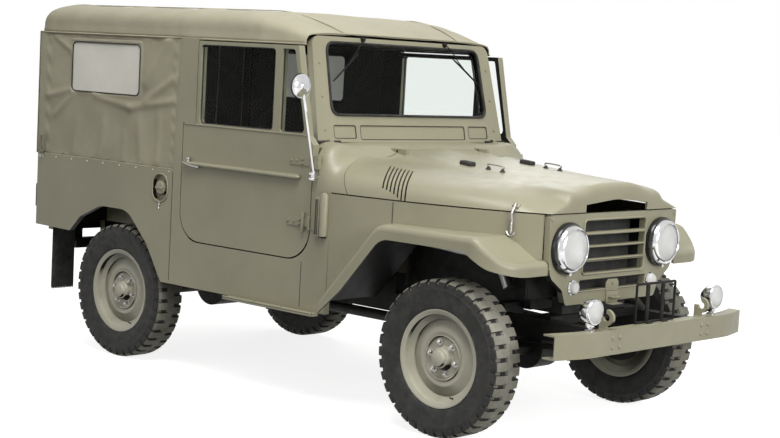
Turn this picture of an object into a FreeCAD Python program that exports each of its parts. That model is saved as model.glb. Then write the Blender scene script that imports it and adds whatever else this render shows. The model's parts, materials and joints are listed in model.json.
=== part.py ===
import FreeCAD, Part
import Sketcher
import math
import os

# A field car with four driven wheels, a canvas top over a half-height steel body and two doors.
# +X is forward, +Y is the car's left and +Z is up. The origin is on the ground, midway along the car.
# Stations along the car are measured forward from the rear axle, and at the nose from the front axle.

SIZES = {
    # overall
    "wheelbase": 2285,
    "rear_reach": 780,
    "front_reach": 665,
    "wheel_cover": 15,
    "fender_out": 52,
    "nose_taper": 275,
    "wall": 30,
    "sheet_t": 6,
    "gap": 6,
    "seat": 0.3,
    # wheels
    "tyre_r": 358,
    "tyre_w": 170,
    "lug_count": 24,
    "lug_h": 14,
    "lug_w": 48,
    "lug_middle": 3,
    "lug_chamfer": 23,
    "shoulder_in": 6,
    "flange_r": 223,
    "flange_t": 6,
    "seat_r": 206,
    "well_r": 180,
    "rim_half": 70,
    "well_half": 28,
    "rim_steel": 6,
    "hub_r": 52,
    "hub_cap_r": 35,
    "spindle_r": 20,
    "run_fit": 0.06,
    "hub_nose": 66,
    "hub_back": 40,
    "drum_r": 140,
    "rear_track_half": 680,
    "track_step": 20,
    # steering
    "kingpin_inset": 100,
    "kingpin_r": 18,
    "kingpin_half": 105,
    "knuckle_r": 30,
    "steer_arm": 120,
    "steer_arm_drop": 58,
    "steer_arm_t": 16,
    "stud_r": 8,
    "tie_rod_r": 11,
    "tie_eye_r": 22,
    "wheel_ring_r": 200,
    "wheel_grip_r": 13,
    "column_r": 20,
    "column_lean": 38,
    "driver_y": -360,
    # chassis
    "rail_y": 360,
    "rail_w": 60,
    "rail_bottom": 455,
    "rail_h": 90,
    "rail_rear": 705,
    "rail_front": 590,
    "cross_w": 60,
    "axle_tube_r": 40,
    "rear_diff_r": 125,
    "front_diff_r": 105,
    "spring_w": 50,
    "spring_half": 450,
    "leaf_end_t": 12,
    "leaf_mid_t": 32,
    # running gear
    "prop_y": -60,
    "prop_r": 27,
    "case_rear": 700,
    "case_front": 880,
    "box_front": 1440,
    "bell_r": 135,
    "engine_rear": 1600,
    "engine_front": 60,
    "engine_half": 190,
    "engine_z": 545,
    "engine_top": 960,
    "pipe_r": 22,
    "pipe_y": 250,
    "pipe_z": 430,
    "radiator_back": 225,
    "radiator_t": 60,
    "radiator_half": 250,
    # body stations from the rear axle
    "body_rear": 729,
    "belt_z": 1048,
    "body_bottom_rear": 645,
    "sill_z": 456,
    "arch_rear": 414,
    "arch_front": 251,
    "arch_top": 803,
    "arch_base": 640,
    "sill_start": 375,
    "rear_post_w": 90,
    "floor_z": 560,
    "rear_floor_z": 700,
    "riser": 441,
    "tunnel_half": 150,
    "tunnel_z": 680,
    "firewall": 1560,
    "cowl_rear": 1366,
    "b_post_low": 442,
    "b_post_top": 472,
    # doors
    "door_rear": 511,
    "door_front": 1450,
    "door_bottom": 697,
    "door_corner": 150,
    "door_waist_z": 1290,
    "door_shoulder": 40,
    "door_upper_rear": 605,
    "door_waist_front": 1410,
    "door_top_z": 1716,
    "door_top_front": 1319,
    "door_t": 40,
    "glass_t": 5,
    "vent_post": 1188,
    "vent_post_w": 46,
    "window_low": 1300,
    "window_high": 1698,
    "hinge_out": 8,
    "hinge_high": 1170,
    "hinge_low": 879,
    "barrel_r": 7.5,
    "barrel_half": 20,
    "pin_r": 4,
    "leaf_t": 5,
    # nose, from the rear axle at its back and from the front axle at its front
    "nose": 375,
    "hood_z": 1037,
    "hood_sheet": 12,
    "crease_y": 330,
    "crease_step": 8,
    "hood_joint_top": 1572,
    "hood_joint_side": 1700,
    "hood_hinge_y": 313,
    "hood_hinge_z": 1240,
    "hood_axis": 1566,
    "louvre_x": 1752,
    "louvre_top_y": 561,
    "louvre_low_y": 738,
    "louvre_lean": 114,
    "louvre_pitch": 23,
    "louvre_w": 9,
    "side_sheet": 12,
    # fuel filler
    "filler_x": 344,
    "filler_z": 946,
    "filler_half": 56,
    "filler_high": 69,
    "filler_depth": 20,
    "filler_cap_r": 38,
    # fenders
    "fender_t": 12,
    "fender_round": 30,
    "fender_corner": 190,
    "fender_foot": 1584,
    "fender_foot_z": 471,
    "fender_foot_top": 540,
    "fender_top": 929,
    "fender_lip": 862,
    "fender_knee": 1925,
    "fender_drop": 215,
    "fender_front": 379,
    "fender_front_z": 824,
    "fender_front_lip": 765,
    "apron_y": 425,
    # front panel
    "panel_t": 30,
    "lamp_y": 370,
    "lamp_z": 880,
    "lamp_r": 118,
    "grille_half": 240,
    "grille_top": 997,
    "grille_bottom": 760,
    "bar_h": 12,
    "slot_half": 262,
    "slot_top": 728,
    "slot_bottom": 681,
    "panel_bottom": 620,
    "park_y": 311,
    "park_z": 700,
    "park_r": 36,
    "fog_y": 492,
    "fog_z": 638,
    "fog_r": 58,
    "fog_depth": 90,
    # bumper
    "bumper_half": 750,
    "bumper_z": 447,
    "bumper_h": 108,
    "bumper_t": 8,
    "bumper_depth": 60,
    "bumper_sweep": 45,
    "bumper_bend": 570,
    "hook_y": 385,
    "hook_r": 36,
    "hook_bore_r": 18,
    "hook_t": 18,
    "hook_z": 606,
    # windscreen
    "screen_x": 1408,
    "screen_z": 1260,
    "screen_top_z": 1770,
    "screen_lean": 13,
    "screen_half_low": 706,
    "screen_half_top": 668,
    "screen_t": 36,
    "glass_inset_low": 115,
    "glass_inset_top": 92,
    "glass_z_low": 1392,
    "glass_z_top": 1742,
    "glass_corner": 45,
    "pressing": 4,
    "pressing_half": 400,
    "pressing_gap": 33,
    "pressing_end": 587,
    # canvas
    "roof_z": 1890,
    "hem_z": 1728,
    "roof_front": 1290,
    "roof_break": 900,
    "roof_inset": 4,
    "roof_narrow": 78,
    "roof_tail_r": 90,
    "canvas": 14,
    "curtain_t": 12,
    "side_window_rear": 443,
    "side_window_front": 137,
    "side_window_low": 1412,
    "side_window_high": 1680,
    # tailgate
    "gate_z": 662,
    "gate_t": 26,
    "gate_axis": 736.5,
    "gate_axis_z": 659,
    "gate_barrel_r": 5,
    # seats
    "seat_half": 235,
    "seat_y": 360,
    "seat_z": 800,
    "cushion_t": 110,
    "seat_front": 1090,
    "seat_rear": 560,
    "bench_in": 440,
    "bench_out": 735,
    "bench_t": 90,
    # mirror
    "mirror_x": 1478,
    "mirror_out": 120,
    "mirror_z": 1527,
    "mirror_r": 57,
    "mirror_foot_z": 1105,
}
doc = FreeCAD.newDocument("FieldCar")
sheet = doc.addObject("Spreadsheet::Sheet", "Sizes")


class Size:
    """A length: its value now, and the formula in the sheet's terms that gives it."""

    def __init__(self, value, text):
        self.value = value
        self.text = text

    def __add__(self, other):
        other = as_size(other)
        return Size(self.value + other.value, f"({self.text} + {other.text})")

    def __sub__(self, other):
        other = as_size(other)
        return Size(self.value - other.value, f"({self.text} - {other.text})")

    def __mul__(self, other):
        other = as_size(other)
        return Size(self.value * other.value, f"({self.text} * {other.text})")

    def __truediv__(self, other):
        other = as_size(other)
        return Size(self.value / other.value, f"({self.text} / {other.text})")

    def __neg__(self):
        return Size(-self.value, f"(0 - {self.text})")

    __radd__ = __add__
    __rmul__ = __mul__

    def __rsub__(self, other):
        return as_size(other) - self


def as_size(number):
    return number if isinstance(number, Size) else Size(float(number), f"({float(number)})")


class Sheet:
    """The driving dimensions, each readable as an attribute."""

    def __init__(self, sizes):
        for row, (name, value) in enumerate(sizes.items(), start=1):
            sheet.set(f"A{row}", name)
            sheet.set(f"B{row}", str(value))
            sheet.setAlias(f"B{row}", name)
            setattr(self, name, Size(float(value), f"Sizes.{name}"))


s = Sheet(SIZES)
doc.recompute()

REAR_AXLE = (s.rear_reach - s.wheelbase - s.front_reach) / 2
FRONT_AXLE = REAR_AXLE + s.wheelbase
FRONT_TRACK = s.rear_track_half + s.track_step
KINGPIN_Y = FRONT_TRACK - s.kingpin_inset
BODY_HALF = s.rear_track_half + s.tyre_w / 2 + s.wheel_cover
BODY_INNER = BODY_HALF - s.wall
FENDER_HALF = BODY_HALF + s.fender_out
NOSE_HALF = BODY_HALF - s.nose_taper
GATE_HALF = BODY_HALF - s.rear_post_w
RAIL_TOP = s.rail_bottom + s.rail_h
RAIL_IN = s.rail_y - s.rail_w / 2
RAIL_OUT = s.rail_y + s.rail_w / 2
BUMPER_TOP = s.bumper_z + s.bumper_h
SIDES = (("left", 1), ("right", -1))
GATE_PIN_IN = as_size(400)
GATE_PIN_OUT = GATE_PIN_IN + 30
GATE_CAR_OUT = GATE_PIN_OUT + 30
BEYOND = 50
parts = {}


def at(station):
    """X of a station measured forward from the rear axle."""
    return REAR_AXLE + station


def ahead(station):
    """X of a station measured forward from the front axle."""
    return FRONT_AXLE + station


def bind(thing, name, size):
    thing.setExpression(name, as_size(size).text)


def place(thing, x=0, y=0, z=0):
    for axis, size in zip("xyz", (x, y, z)):
        bind(thing, f"Placement.Base.{axis}", size)


def turn(thing, axis, degrees):
    thing.Placement.Rotation = FreeCAD.Rotation(FreeCAD.Vector(*axis), degrees)
def corner_arc(before, corner, after, radius):
    """The points where a rounded corner leaves its two sides, and its centre."""
    back = (before - corner).normalize()
    on = (after - corner).normalize()
    half = back.getAngle(on) / 2
    reach = radius / math.tan(half)
    centre = corner + (back + on).normalize() * (radius / math.sin(half))
    return corner + back * reach, corner + on * reach, centre


def draw(sketch, outline):
    """Adds one closed outline. Each point is (u, v) or (u, v, corner radius)."""
    up = FreeCAD.Vector(0, 0, 1)
    count = len(outline)
    corners = [FreeCAD.Vector(as_size(p[0]).value, as_size(p[1]).value, 0) for p in outline]
    starts, ends, centres = list(corners), list(corners), {}
    for i, point in enumerate(outline):
        if len(point) == 3:
            radius = as_size(point[2]).value
            found = corner_arc(corners[i - 1], corners[i], corners[(i + 1) % count], radius)
            ends[i], starts[i], centres[i] = found
    lines = []
    for i in range(count):
        j = (i + 1) % count
        lines.append(sketch.addGeometry(Part.LineSegment(starts[i], ends[j]), False))
    for i, point in enumerate(outline):
        before, after = lines[i - 1], lines[i]
        if i not in centres:
            sketch.addConstraint(Sketcher.Constraint("Coincident", before, 2, after, 1))
            fix(sketch, after, 1, point)
            continue
        radius = as_size(point[2])
        centre = centres[i]
        side = (ends[i] - centre).cross(starts[i] - centre).z > 0
        first, last = (ends[i], starts[i]) if side else (starts[i], ends[i])
        low = math.atan2(first.y - centre.y, first.x - centre.x)
        high = math.atan2(last.y - centre.y, last.x - centre.x)
        circle = Part.Circle(centre, up, radius.value)
        arc = sketch.addGeometry(Part.ArcOfCircle(circle, low, high), False)
        knot = sketch.addGeometry(Part.Point(corners[i]), True)
        fix(sketch, knot, 1, point)
        sketch.addConstraint(Sketcher.Constraint("PointOnObject", knot, 1, before))
        sketch.addConstraint(Sketcher.Constraint("PointOnObject", knot, 1, after))
        sketch.addConstraint(Sketcher.Constraint("Tangent", before, 2, arc, 1 if side else 2))
        sketch.addConstraint(Sketcher.Constraint("Tangent", after, 1, arc, 2 if side else 1))
        index = sketch.addConstraint(Sketcher.Constraint("Radius", arc, radius.value))
        bind(sketch, f"Constraints[{index}]", radius)


def fix(sketch, geometry, end, point):
    for kind, size in zip(("DistanceX", "DistanceY"), point[:2]):
        size = as_size(size)
        index = sketch.addConstraint(Sketcher.Constraint(kind, -1, 1, geometry, end, size.value))
        bind(sketch, f"Constraints[{index}]", size)


def ring(sketch, u, v, radius):
    """Adds a circle."""
    u, v, radius = as_size(u), as_size(v), as_size(radius)
    centre = FreeCAD.Vector(u.value, v.value, 0)
    circle = sketch.addGeometry(Part.Circle(centre, FreeCAD.Vector(0, 0, 1), radius.value), False)
    fix(sketch, circle, 3, (u, v))
    index = sketch.addConstraint(Sketcher.Constraint("Radius", circle, radius.value))
    bind(sketch, f"Constraints[{index}]", radius)


def new_sketch(body, plane, offset, outlines):
    sketch = body.newObject("Sketcher::SketchObject", body.Name + "_sketch")
    origin = [f for f in body.Origin.OriginFeatures if f.Role == plane + "_Plane"][0]
    sketch.AttachmentSupport = (origin, "")
    sketch.MapMode = "FlatFace"
    bind(sketch, "AttachmentOffset.Base.z", offset)
    for outline in outlines:
        if isinstance(outline, tuple):
            ring(sketch, *outline)
        else:
            draw(sketch, outline)
    return sketch


def new_body(name):
    return doc.addObject("PartDesign::Body", name)


def pad(body, plane, low, high, *outlines):
    """Adds material between low and high along the plane's normal row axis."""
    low, high = as_size(low), as_size(high)
    offset = -high if plane == "XZ" else low
    feature = body.newObject("PartDesign::Pad", body.Name + "_pad")
    sketch = new_sketch(body, plane, offset, outlines)
    feature.Profile = sketch
    bind(feature, "Length", high - low)
    return body


def pocket(body, plane, low, high, *outlines):
    """Cuts between low and high along the plane's normal row axis."""
    low, high = as_size(low), as_size(high)
    offset = -low if plane == "XZ" else high
    feature = body.newObject("PartDesign::Pocket", body.Name + "_pocket")
    sketch = new_sketch(body, plane, offset, outlines)
    feature.Profile = sketch
    bind(feature, "Length", high - low)
    return body


def slab(name, plane, low, high, *outlines):
    return pad(new_body(name), plane, low, high, *outlines)


def rectangle(u0, u1, v0, v1, radius=None):
    corners = [(u0, v0), (u1, v0), (u1, v1), (u0, v1)]
    return [(u, v) if radius is None else (u, v, radius) for u, v in corners]


def lathe(name, profile):
    """A body of revolution about its own Z axis. Profile points are (radius, height)."""
    body = new_body(name)
    feature = body.newObject("PartDesign::Revolution", name + "_revolution")
    sketch = new_sketch(body, "XZ", 0, [profile])
    feature.Profile = sketch
    feature.ReferenceAxis = (sketch, ["V_Axis"])
    feature.Angle = 360
    return body


def box(name, x0, x1, y0, y1, z0, z1):
    thing = doc.addObject("Part::Box", name)
    for prop, low, high in (("Length", x0, x1), ("Width", y0, y1), ("Height", z0, z1)):
        bind(thing, prop, as_size(high) - low)
    place(thing, x0, y0, z0)
    return thing


AXIS_TURN = {"x": ((0, 1, 0), 90), "y": ((1, 0, 0), -90), "z": ((0, 0, 1), 0)}


def rod(name, axis, radius, length, x, y, z):
    """A cylinder that starts at a point and runs along +axis."""
    thing = doc.addObject("Part::Cylinder", name)
    bind(thing, "Radius", radius)
    bind(thing, "Height", length)
    turn(thing, *AXIS_TURN[axis])
    place(thing, x, y, z)
    return thing


def fuse(name, *things):
    union = doc.addObject("Part::MultiFuse", name)
    union.Shapes = list(things)
    return union


def cut(name, base, *tools):
    result = doc.addObject("Part::Cut", name)
    result.Base = base
    result.Tool = tools[0] if len(tools) == 1 else fuse(name + "_tools", *tools)
    return result


def overlap(name, first, second):
    result = doc.addObject("Part::Common", name)
    result.Base = first
    result.Tool = second
    return result


def block(name, x0, x1, side, y0, y1, z0, z1):
    """A box between two distances out from the centreline, on one side."""
    low, high = (y0, y1) if side > 0 else (-as_size(y1), -as_size(y0))
    return box(name, x0, x1, low, high, z0, z1)


def y_rod(name, radius, side, y0, y1, x, z):
    """A cylinder across the car between two distances out from the centreline, on one side."""
    y0, y1 = as_size(y0), as_size(y1)
    return rod(name, "y", radius, y1 - y0, x, y0 if side > 0 else -y1, z)


def mirror(name, source):
    """The same piece on the car's other side."""
    twin = doc.addObject("Part::Mirroring", name)
    twin.Source = source
    twin.Normal = FreeCAD.Vector(0, 1, 0)
    return twin


def together(name, *things):
    """Separate solids that share a node."""
    group = doc.addObject("Part::Compound", name)
    group.Links = list(things)
    return group


def shape_of(name, shape):
    thing = doc.addObject("Part::Feature", name)
    thing.Shape = shape
    return thing


def keep(node, thing):
    thing.Label = node
    parts[node] = thing
    return thing




# Wheels
def flat_ring(sections, sides):
    """The solid inside flat-sided rings, one for each (distance to the flats, height), joined in turn."""
    turn_by = 2 * math.pi / sides
    rings = []
    for flat, height in sections:
        corner = flat.value / math.cos(turn_by / 2)
        rings.append([FreeCAD.Vector(corner * math.cos(turn_by * k), corner * math.sin(turn_by * k),
                                     height.value)
                      for k in range(sides)])
    faces = [Part.Face(Part.makePolygon(ring + ring[:1])) for ring in (rings[0], rings[-1])]
    for low, high in zip(rings[:-1], rings[1:]):
        for k in range(sides):
            after = (k + 1) % sides
            faces.append(Part.Face(Part.makePolygon([low[k], low[after], high[after], high[k], low[k]])))
    solid = Part.makeSolid(Part.makeShell(faces))
    if solid.Volume < 0:
        solid.reverse()
    return solid


def lug(side):
    """One tread bar at angle zero, from the middle of the tread out over one shoulder."""
    half, crown = s.tyre_w / 2, s.tyre_r - s.lug_h
    line = [(s.lug_middle, crown - 4), (s.lug_middle, s.tyre_r), (half - s.lug_chamfer, s.tyre_r),
            (half - s.shoulder_in, crown), (half - s.shoulder_in, crown - 4)]
    points = [FreeCAD.Vector(r.value, -s.lug_w.value / 2, h.value * side) for h, r in line]
    return Part.Face(Part.makePolygon(points + points[:1])).extrude(FreeCAD.Vector(0, s.lug_w.value, 0))


def tyre_shape():
    """A faceted tyre with a row of tread bars over each shoulder, the two rows half a pitch apart."""
    lugs = int(s.lug_count.value)
    half = s.tyre_w / 2
    bead = s.rim_half - s.flange_t - s.seat
    crown = s.tyre_r - s.lug_h
    side = [(crown, half - s.shoulder_in), ((crown + s.flange_r) / 2, half), (s.flange_r + s.seat, bead)]
    carcass = flat_ring([(r, -h) for r, h in side[::-1]] + side, lugs)
    bore = flat_ring([(s.seat_r + s.seat, -half), (s.seat_r + s.seat, half)], lugs)
    bars = []
    for row, offset in ((1, 0.5), (-1, 0)):
        for k in range(lugs):
            bar = lug(row)
            bar.rotate(FreeCAD.Vector(0, 0, 0), FreeCAD.Vector(0, 0, 1), 360 / lugs * (k + offset))
            bars.append(bar)
    return carcass.cut(bore).fuse(bars).removeSplitter()


def make_rim(name):
    """A pressed steel rim: dropped well, dished disc with a raised ring, and the hub with its cap."""
    steel = s.rim_steel
    edge = s.rim_half
    lip = s.rim_half - s.flange_t
    inner = s.seat_r - steel
    well = s.well_r - steel
    ramp = s.well_half + 12
    disc = s.well_half - 10
    crest = s.well_half + 12
    crest_r = (well + s.hub_r) / 2 + 10
    profile = [
        (s.flange_r, edge),
        (s.flange_r, lip),
        (s.seat_r, lip),
        (s.seat_r, ramp),
        (s.well_r, s.well_half),
        (s.well_r, -s.well_half),
        (s.seat_r, -ramp),
        (s.seat_r, -lip),
        (s.flange_r, -lip),
        (s.flange_r, -edge),
        (s.flange_r - steel, -edge),
        (inner, -lip),
        (inner, -ramp),
        (well, -s.well_half),
        (well, disc - steel),
        (crest_r, crest - steel, 16),
        (s.hub_r, disc - steel),
        (s.hub_r, -s.hub_back),
        (s.spindle_r + s.run_fit, -s.hub_back),
        (s.spindle_r + s.run_fit, s.hub_nose - 12),
        (0, s.hub_nose - 12),
        (0, s.hub_nose),
        (s.hub_cap_r, s.hub_nose, 14),
        (s.hub_cap_r, disc + steel),
        (s.hub_r + steel, disc),
        (crest_r, crest, 16),
        (well, disc),
        (well, s.well_half),
        (inner, ramp),
        (inner, lip),
        (s.flange_r - steel, edge),
    ]
    return lathe(name, profile)


def make_wheels():
    rubber = tyre_shape()
    for end, axle, track in (("front", FRONT_AXLE, FRONT_TRACK), ("rear", REAR_AXLE, s.rear_track_half)):
        for side, sign in SIDES:
            for thing in (shape_of(f"tyre_{end}_{side}", rubber), make_rim(f"rim_{end}_{side}")):
                turn(thing, (1, 0, 0), -90 * sign)
                place(thing, axle, track * sign, s.tyre_r)
                keep(thing.Name, thing)


# Steering and axles
def make_knuckle():
    """The right knuckle: kingpin, stub axle, brake backplate and steering arm."""
    centre = s.tyre_r
    hub_inner = FRONT_TRACK - s.hub_back
    spindle_end = FRONT_TRACK + s.hub_nose - 14
    arm_z = centre - s.steer_arm_drop
    arm_w = s.knuckle_r - 4
    pin = rod("kingpin", "z", s.kingpin_r, s.kingpin_half * 2, FRONT_AXLE, -KINGPIN_Y,
              centre - s.kingpin_half)
    barrel = rod("knuckle_barrel", "z", s.knuckle_r, s.steer_arm_drop * 2, FRONT_AXLE, -KINGPIN_Y, arm_z)
    spindle = rod("spindle", "y", s.spindle_r, spindle_end - KINGPIN_Y, FRONT_AXLE, -spindle_end, centre)
    plate = rod("backplate", "y", s.drum_r, s.sheet_t, FRONT_AXLE, -hub_inner + s.sheet_t, centre)
    arm = box("steering_arm", FRONT_AXLE - s.steer_arm - s.stud_r * 2, FRONT_AXLE, -KINGPIN_Y - arm_w / 2,
              -KINGPIN_Y + arm_w / 2, arm_z, arm_z + s.steer_arm_t)
    stud = rod("steering_arm_stud", "z", s.stud_r, s.steer_arm_t * 2, FRONT_AXLE - s.steer_arm, -KINGPIN_Y,
               arm_z - s.steer_arm_t * 2)
    return fuse("knuckle_right", pin, barrel, spindle, plate, arm, stud)


def make_steering():
    knuckle = make_knuckle()
    keep("knuckle_right", knuckle)
    keep("knuckle_left", mirror("knuckle_left", knuckle))
    rod_x = FRONT_AXLE - s.steer_arm
    arm_z = s.tyre_r - s.steer_arm_drop
    eye_t = s.steer_arm_t + 8
    eye_z = arm_z - 4 - eye_t
    solids = [rod("tie_bar", "y", s.tie_rod_r, (KINGPIN_Y - s.tie_eye_r) * 2 + 4, rod_x,
                  -(KINGPIN_Y - s.tie_eye_r) - 2, eye_z + eye_t / 2)]
    holes = []
    for side, sign in SIDES:
        solids.append(rod(f"tie_eye_{side}", "z", s.tie_eye_r, eye_t, rod_x, KINGPIN_Y * sign, eye_z))
        holes.append(rod(f"tie_hole_{side}", "z", s.stud_r + s.run_fit, eye_t * 2, rod_x, KINGPIN_Y * sign,
                         eye_z - eye_t / 2))
    keep("tie_rod", cut("tie_rod", fuse("tie_rod_solid", *solids), *holes))


def leaf_spring(name, axle, side):
    """A bowed stack of leaves over the axle tube, under its frame rail."""
    end_low = s.rail_bottom - s.leaf_end_t - 15
    mid_low = s.tyre_r + s.axle_tube_r - 8
    bow_r = s.spring_half * 4
    middle = s.rail_y * side
    return slab(name, "XZ", middle - s.spring_w / 2, middle + s.spring_w / 2, [
        (axle - s.spring_half, end_low),
        (axle, mid_low, bow_r),
        (axle + s.spring_half, end_low),
        (axle + s.spring_half, end_low + s.leaf_end_t),
        (axle, mid_low + s.leaf_mid_t, bow_r),
        (axle - s.spring_half, end_low + s.leaf_end_t),
    ])


def make_front_axle():
    centre = s.tyre_r
    clear = s.knuckle_r + 9
    yoke_in = KINGPIN_Y - clear - 21
    housing = rod("front_housing", "y", s.front_diff_r, 150, FRONT_AXLE, s.prop_y - 75, centre)
    tubes = rod("front_tubes", "y", s.axle_tube_r, (yoke_in + 10) * 2, FRONT_AXLE, -(yoke_in + 10), centre)
    pinion = rod("front_pinion", "x", 45, 160, FRONT_AXLE - 160, s.prop_y, centre)
    solids = [housing, tubes, pinion]
    holes = []
    for side, sign in SIDES:
        solids.append(block(f"yoke_{side}", FRONT_AXLE - 34, FRONT_AXLE + 34, sign, yoke_in, KINGPIN_Y + 25,
                            centre - s.kingpin_half + 5, centre + s.kingpin_half - 5))
        solids.append(leaf_spring(f"front_leaf_{side}", FRONT_AXLE, sign))
        holes.append(block(f"yoke_gap_{side}", FRONT_AXLE - BEYOND, FRONT_AXLE + BEYOND, sign,
                           KINGPIN_Y - clear,
                           KINGPIN_Y + clear, centre - s.steer_arm_drop - 3, centre + s.steer_arm_drop + 3))
        holes.append(rod(f"yoke_hole_{side}", "z", s.kingpin_r + s.run_fit, s.kingpin_half * 4, FRONT_AXLE,
                         KINGPIN_Y * sign, centre - s.kingpin_half * 2))
    keep("front_axle", cut("front_axle", fuse("front_axle_solid", *solids), *holes))


def make_rear_axle():
    centre = s.tyre_r
    hub_inner = s.rear_track_half - s.hub_back
    tube_end = hub_inner - s.sheet_t
    shaft_end = s.rear_track_half + s.hub_nose - 14
    solids = [
        rod("rear_housing", "y", s.rear_diff_r, 180, REAR_AXLE, -90, centre),
        rod("rear_tubes", "y", s.axle_tube_r, tube_end * 2, REAR_AXLE, -tube_end, centre),
        rod("rear_shaft", "y", s.spindle_r, shaft_end * 2, REAR_AXLE, -shaft_end, centre),
        rod("rear_pinion", "x", 50, 170, REAR_AXLE, 0, centre),
    ]
    for side, sign in SIDES:
        solids.append(rod(f"rear_plate_{side}", "y", s.drum_r, s.sheet_t, REAR_AXLE,
                          (hub_inner - s.sheet_t / 2) * sign - s.sheet_t * (1.5 if sign > 0 else -0.5),
                          centre))
        solids.append(leaf_spring(f"rear_leaf_{side}", REAR_AXLE, sign))
    keep("rear_axle", fuse("rear_axle", *solids))


# Chassis
def make_chassis():
    pieces = []
    for side, sign in SIDES:
        pieces.append(block(f"rail_{side}", at(-s.rail_rear), ahead(s.rail_front), sign, RAIL_IN, RAIL_OUT,
                            s.rail_bottom, RAIL_TOP))
        for name, axle in (("front", FRONT_AXLE), ("rear", REAR_AXLE)):
            for end, x0 in (("fore", axle + s.spring_half - 40), ("aft", axle - s.spring_half)):
                pieces.append(block(f"hanger_{name}_{end}_{side}", x0, x0 + 40, sign,
                                    s.rail_y - s.spring_w / 2,
                                    s.rail_y + s.spring_w / 2, s.rail_bottom - 15 + s.seat,
                                    s.rail_bottom + 10))
        for name, x0, x1, y0, z0, z1 in (
                ("engine_mount", ahead(-40), ahead(20), s.engine_half + s.seat, 500, 580),
                ("gearbox_mount", at(920), at(970), 110 + s.seat, 470, 530)):
            pieces.append(block(f"{name}_{side}", x0, x1, sign, y0, RAIL_IN + 5, z0, z1))
        for name, x0 in (("mid", at(600)), ("cowl", at(1420))):
            pieces.append(block(f"body_mount_{name}_{side}", x0, x0 + 50, sign, RAIL_IN, RAIL_OUT,
                                RAIL_TOP - 5,
                                s.floor_z - s.seat))
        pieces.append(block(f"rear_buffer_{side}", at(-s.rear_reach), at(-s.rail_rear) + 20, sign,
                            s.rail_y + 122, s.rail_y + 202, 540, 610))
        pieces.append(block(f"rear_bracket_{side}", at(-s.rail_rear), at(-s.rail_rear) + 30, sign,
                            RAIL_IN + 20, s.rail_y + 172, 500, 560))
    for name, x0 in (("rear", at(-s.rail_rear)), ("mid", at(430)), ("front",
                                                                    ahead(s.rail_front) - s.cross_w)):
        pieces.append(box(f"cross_{name}", x0, x0 + s.cross_w, -s.rail_y, s.rail_y, s.rail_bottom + 10,
                          RAIL_TOP - 10))
    pieces.append(box("radiator_beam", ahead(s.radiator_back) - 10,
                      ahead(s.radiator_back) + s.radiator_t + 20,
                      -s.rail_y, s.rail_y, RAIL_TOP - 25, s.floor_z - s.seat))
    keep("chassis_frame", fuse("chassis_frame", *pieces))


def make_drive():
    gearbox = box("gearbox", at(s.case_front), at(s.box_front), -110, 110, 400, 620)
    bell = rod("bell_housing", "x", s.bell_r, s.engine_rear - s.box_front - s.seat, at(s.box_front), 0, 520)
    transfer = box("transfer_box", at(s.case_rear), at(s.case_front), -170, 130, 330, s.floor_z - 5)
    rear_start = REAR_AXLE + 170 + s.seat
    rear_shaft = rod("rear_prop", "x", s.prop_r, at(s.case_rear) - s.seat - rear_start, rear_start, 0,
                     s.tyre_r)
    front_start = at(s.case_front) + s.seat
    front_shaft = rod("front_prop", "x", s.prop_r, FRONT_AXLE - 160 - s.seat - front_start, front_start,
                      s.prop_y,
                      s.tyre_r)
    keep("drivetrain", together("drivetrain", fuse("gear_cases", gearbox, bell, transfer), rear_shaft,
                                front_shaft))
    keep("engine", box("engine", at(s.engine_rear), ahead(s.engine_front), -s.engine_half, s.engine_half,
                       s.engine_z, s.engine_top))
    keep("radiator", box("radiator", ahead(s.radiator_back), ahead(s.radiator_back) + s.radiator_t,
                         -s.radiator_half, s.radiator_half, s.floor_z, s.engine_top + 25))


def make_exhaust():
    """Tail pipe under the left of the floor, silencer, front pipe and the riser to the engine's side."""
    riser_x, port_z = at(1750), 700
    cross_low = s.rail_bottom + 10
    pipe = rod("exhaust_pipe", "x", s.pipe_r, riser_x - at(-760), at(-760), s.pipe_y, s.pipe_z)
    silencer = rod("silencer", "x", s.pipe_r * 2.5, 400, at(1000), s.pipe_y, s.pipe_z)
    riser = rod("exhaust_riser", "z", s.pipe_r, port_z - s.pipe_z + s.pipe_r, riser_x, s.pipe_y,
                s.pipe_z - s.pipe_r)
    port = rod("exhaust_port", "y", s.pipe_r, s.pipe_y - s.engine_half - s.seat, riser_x,
               s.engine_half + s.seat, port_z)
    straps = [box(f"exhaust_strap_{name}", x, x + 20, s.pipe_y - 10, s.pipe_y + 10, s.pipe_z,
                  cross_low - s.seat)
              for name, x in (("rear", at(-s.rail_rear) + 10), ("mid", at(450)))]
    keep("exhaust", fuse("exhaust", pipe, silencer, riser, port, *straps))
    keep("fuel_tank", box("fuel_tank", at(-480), at(-200), -300, 120, 570, s.rear_floor_z - s.seat))


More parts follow.
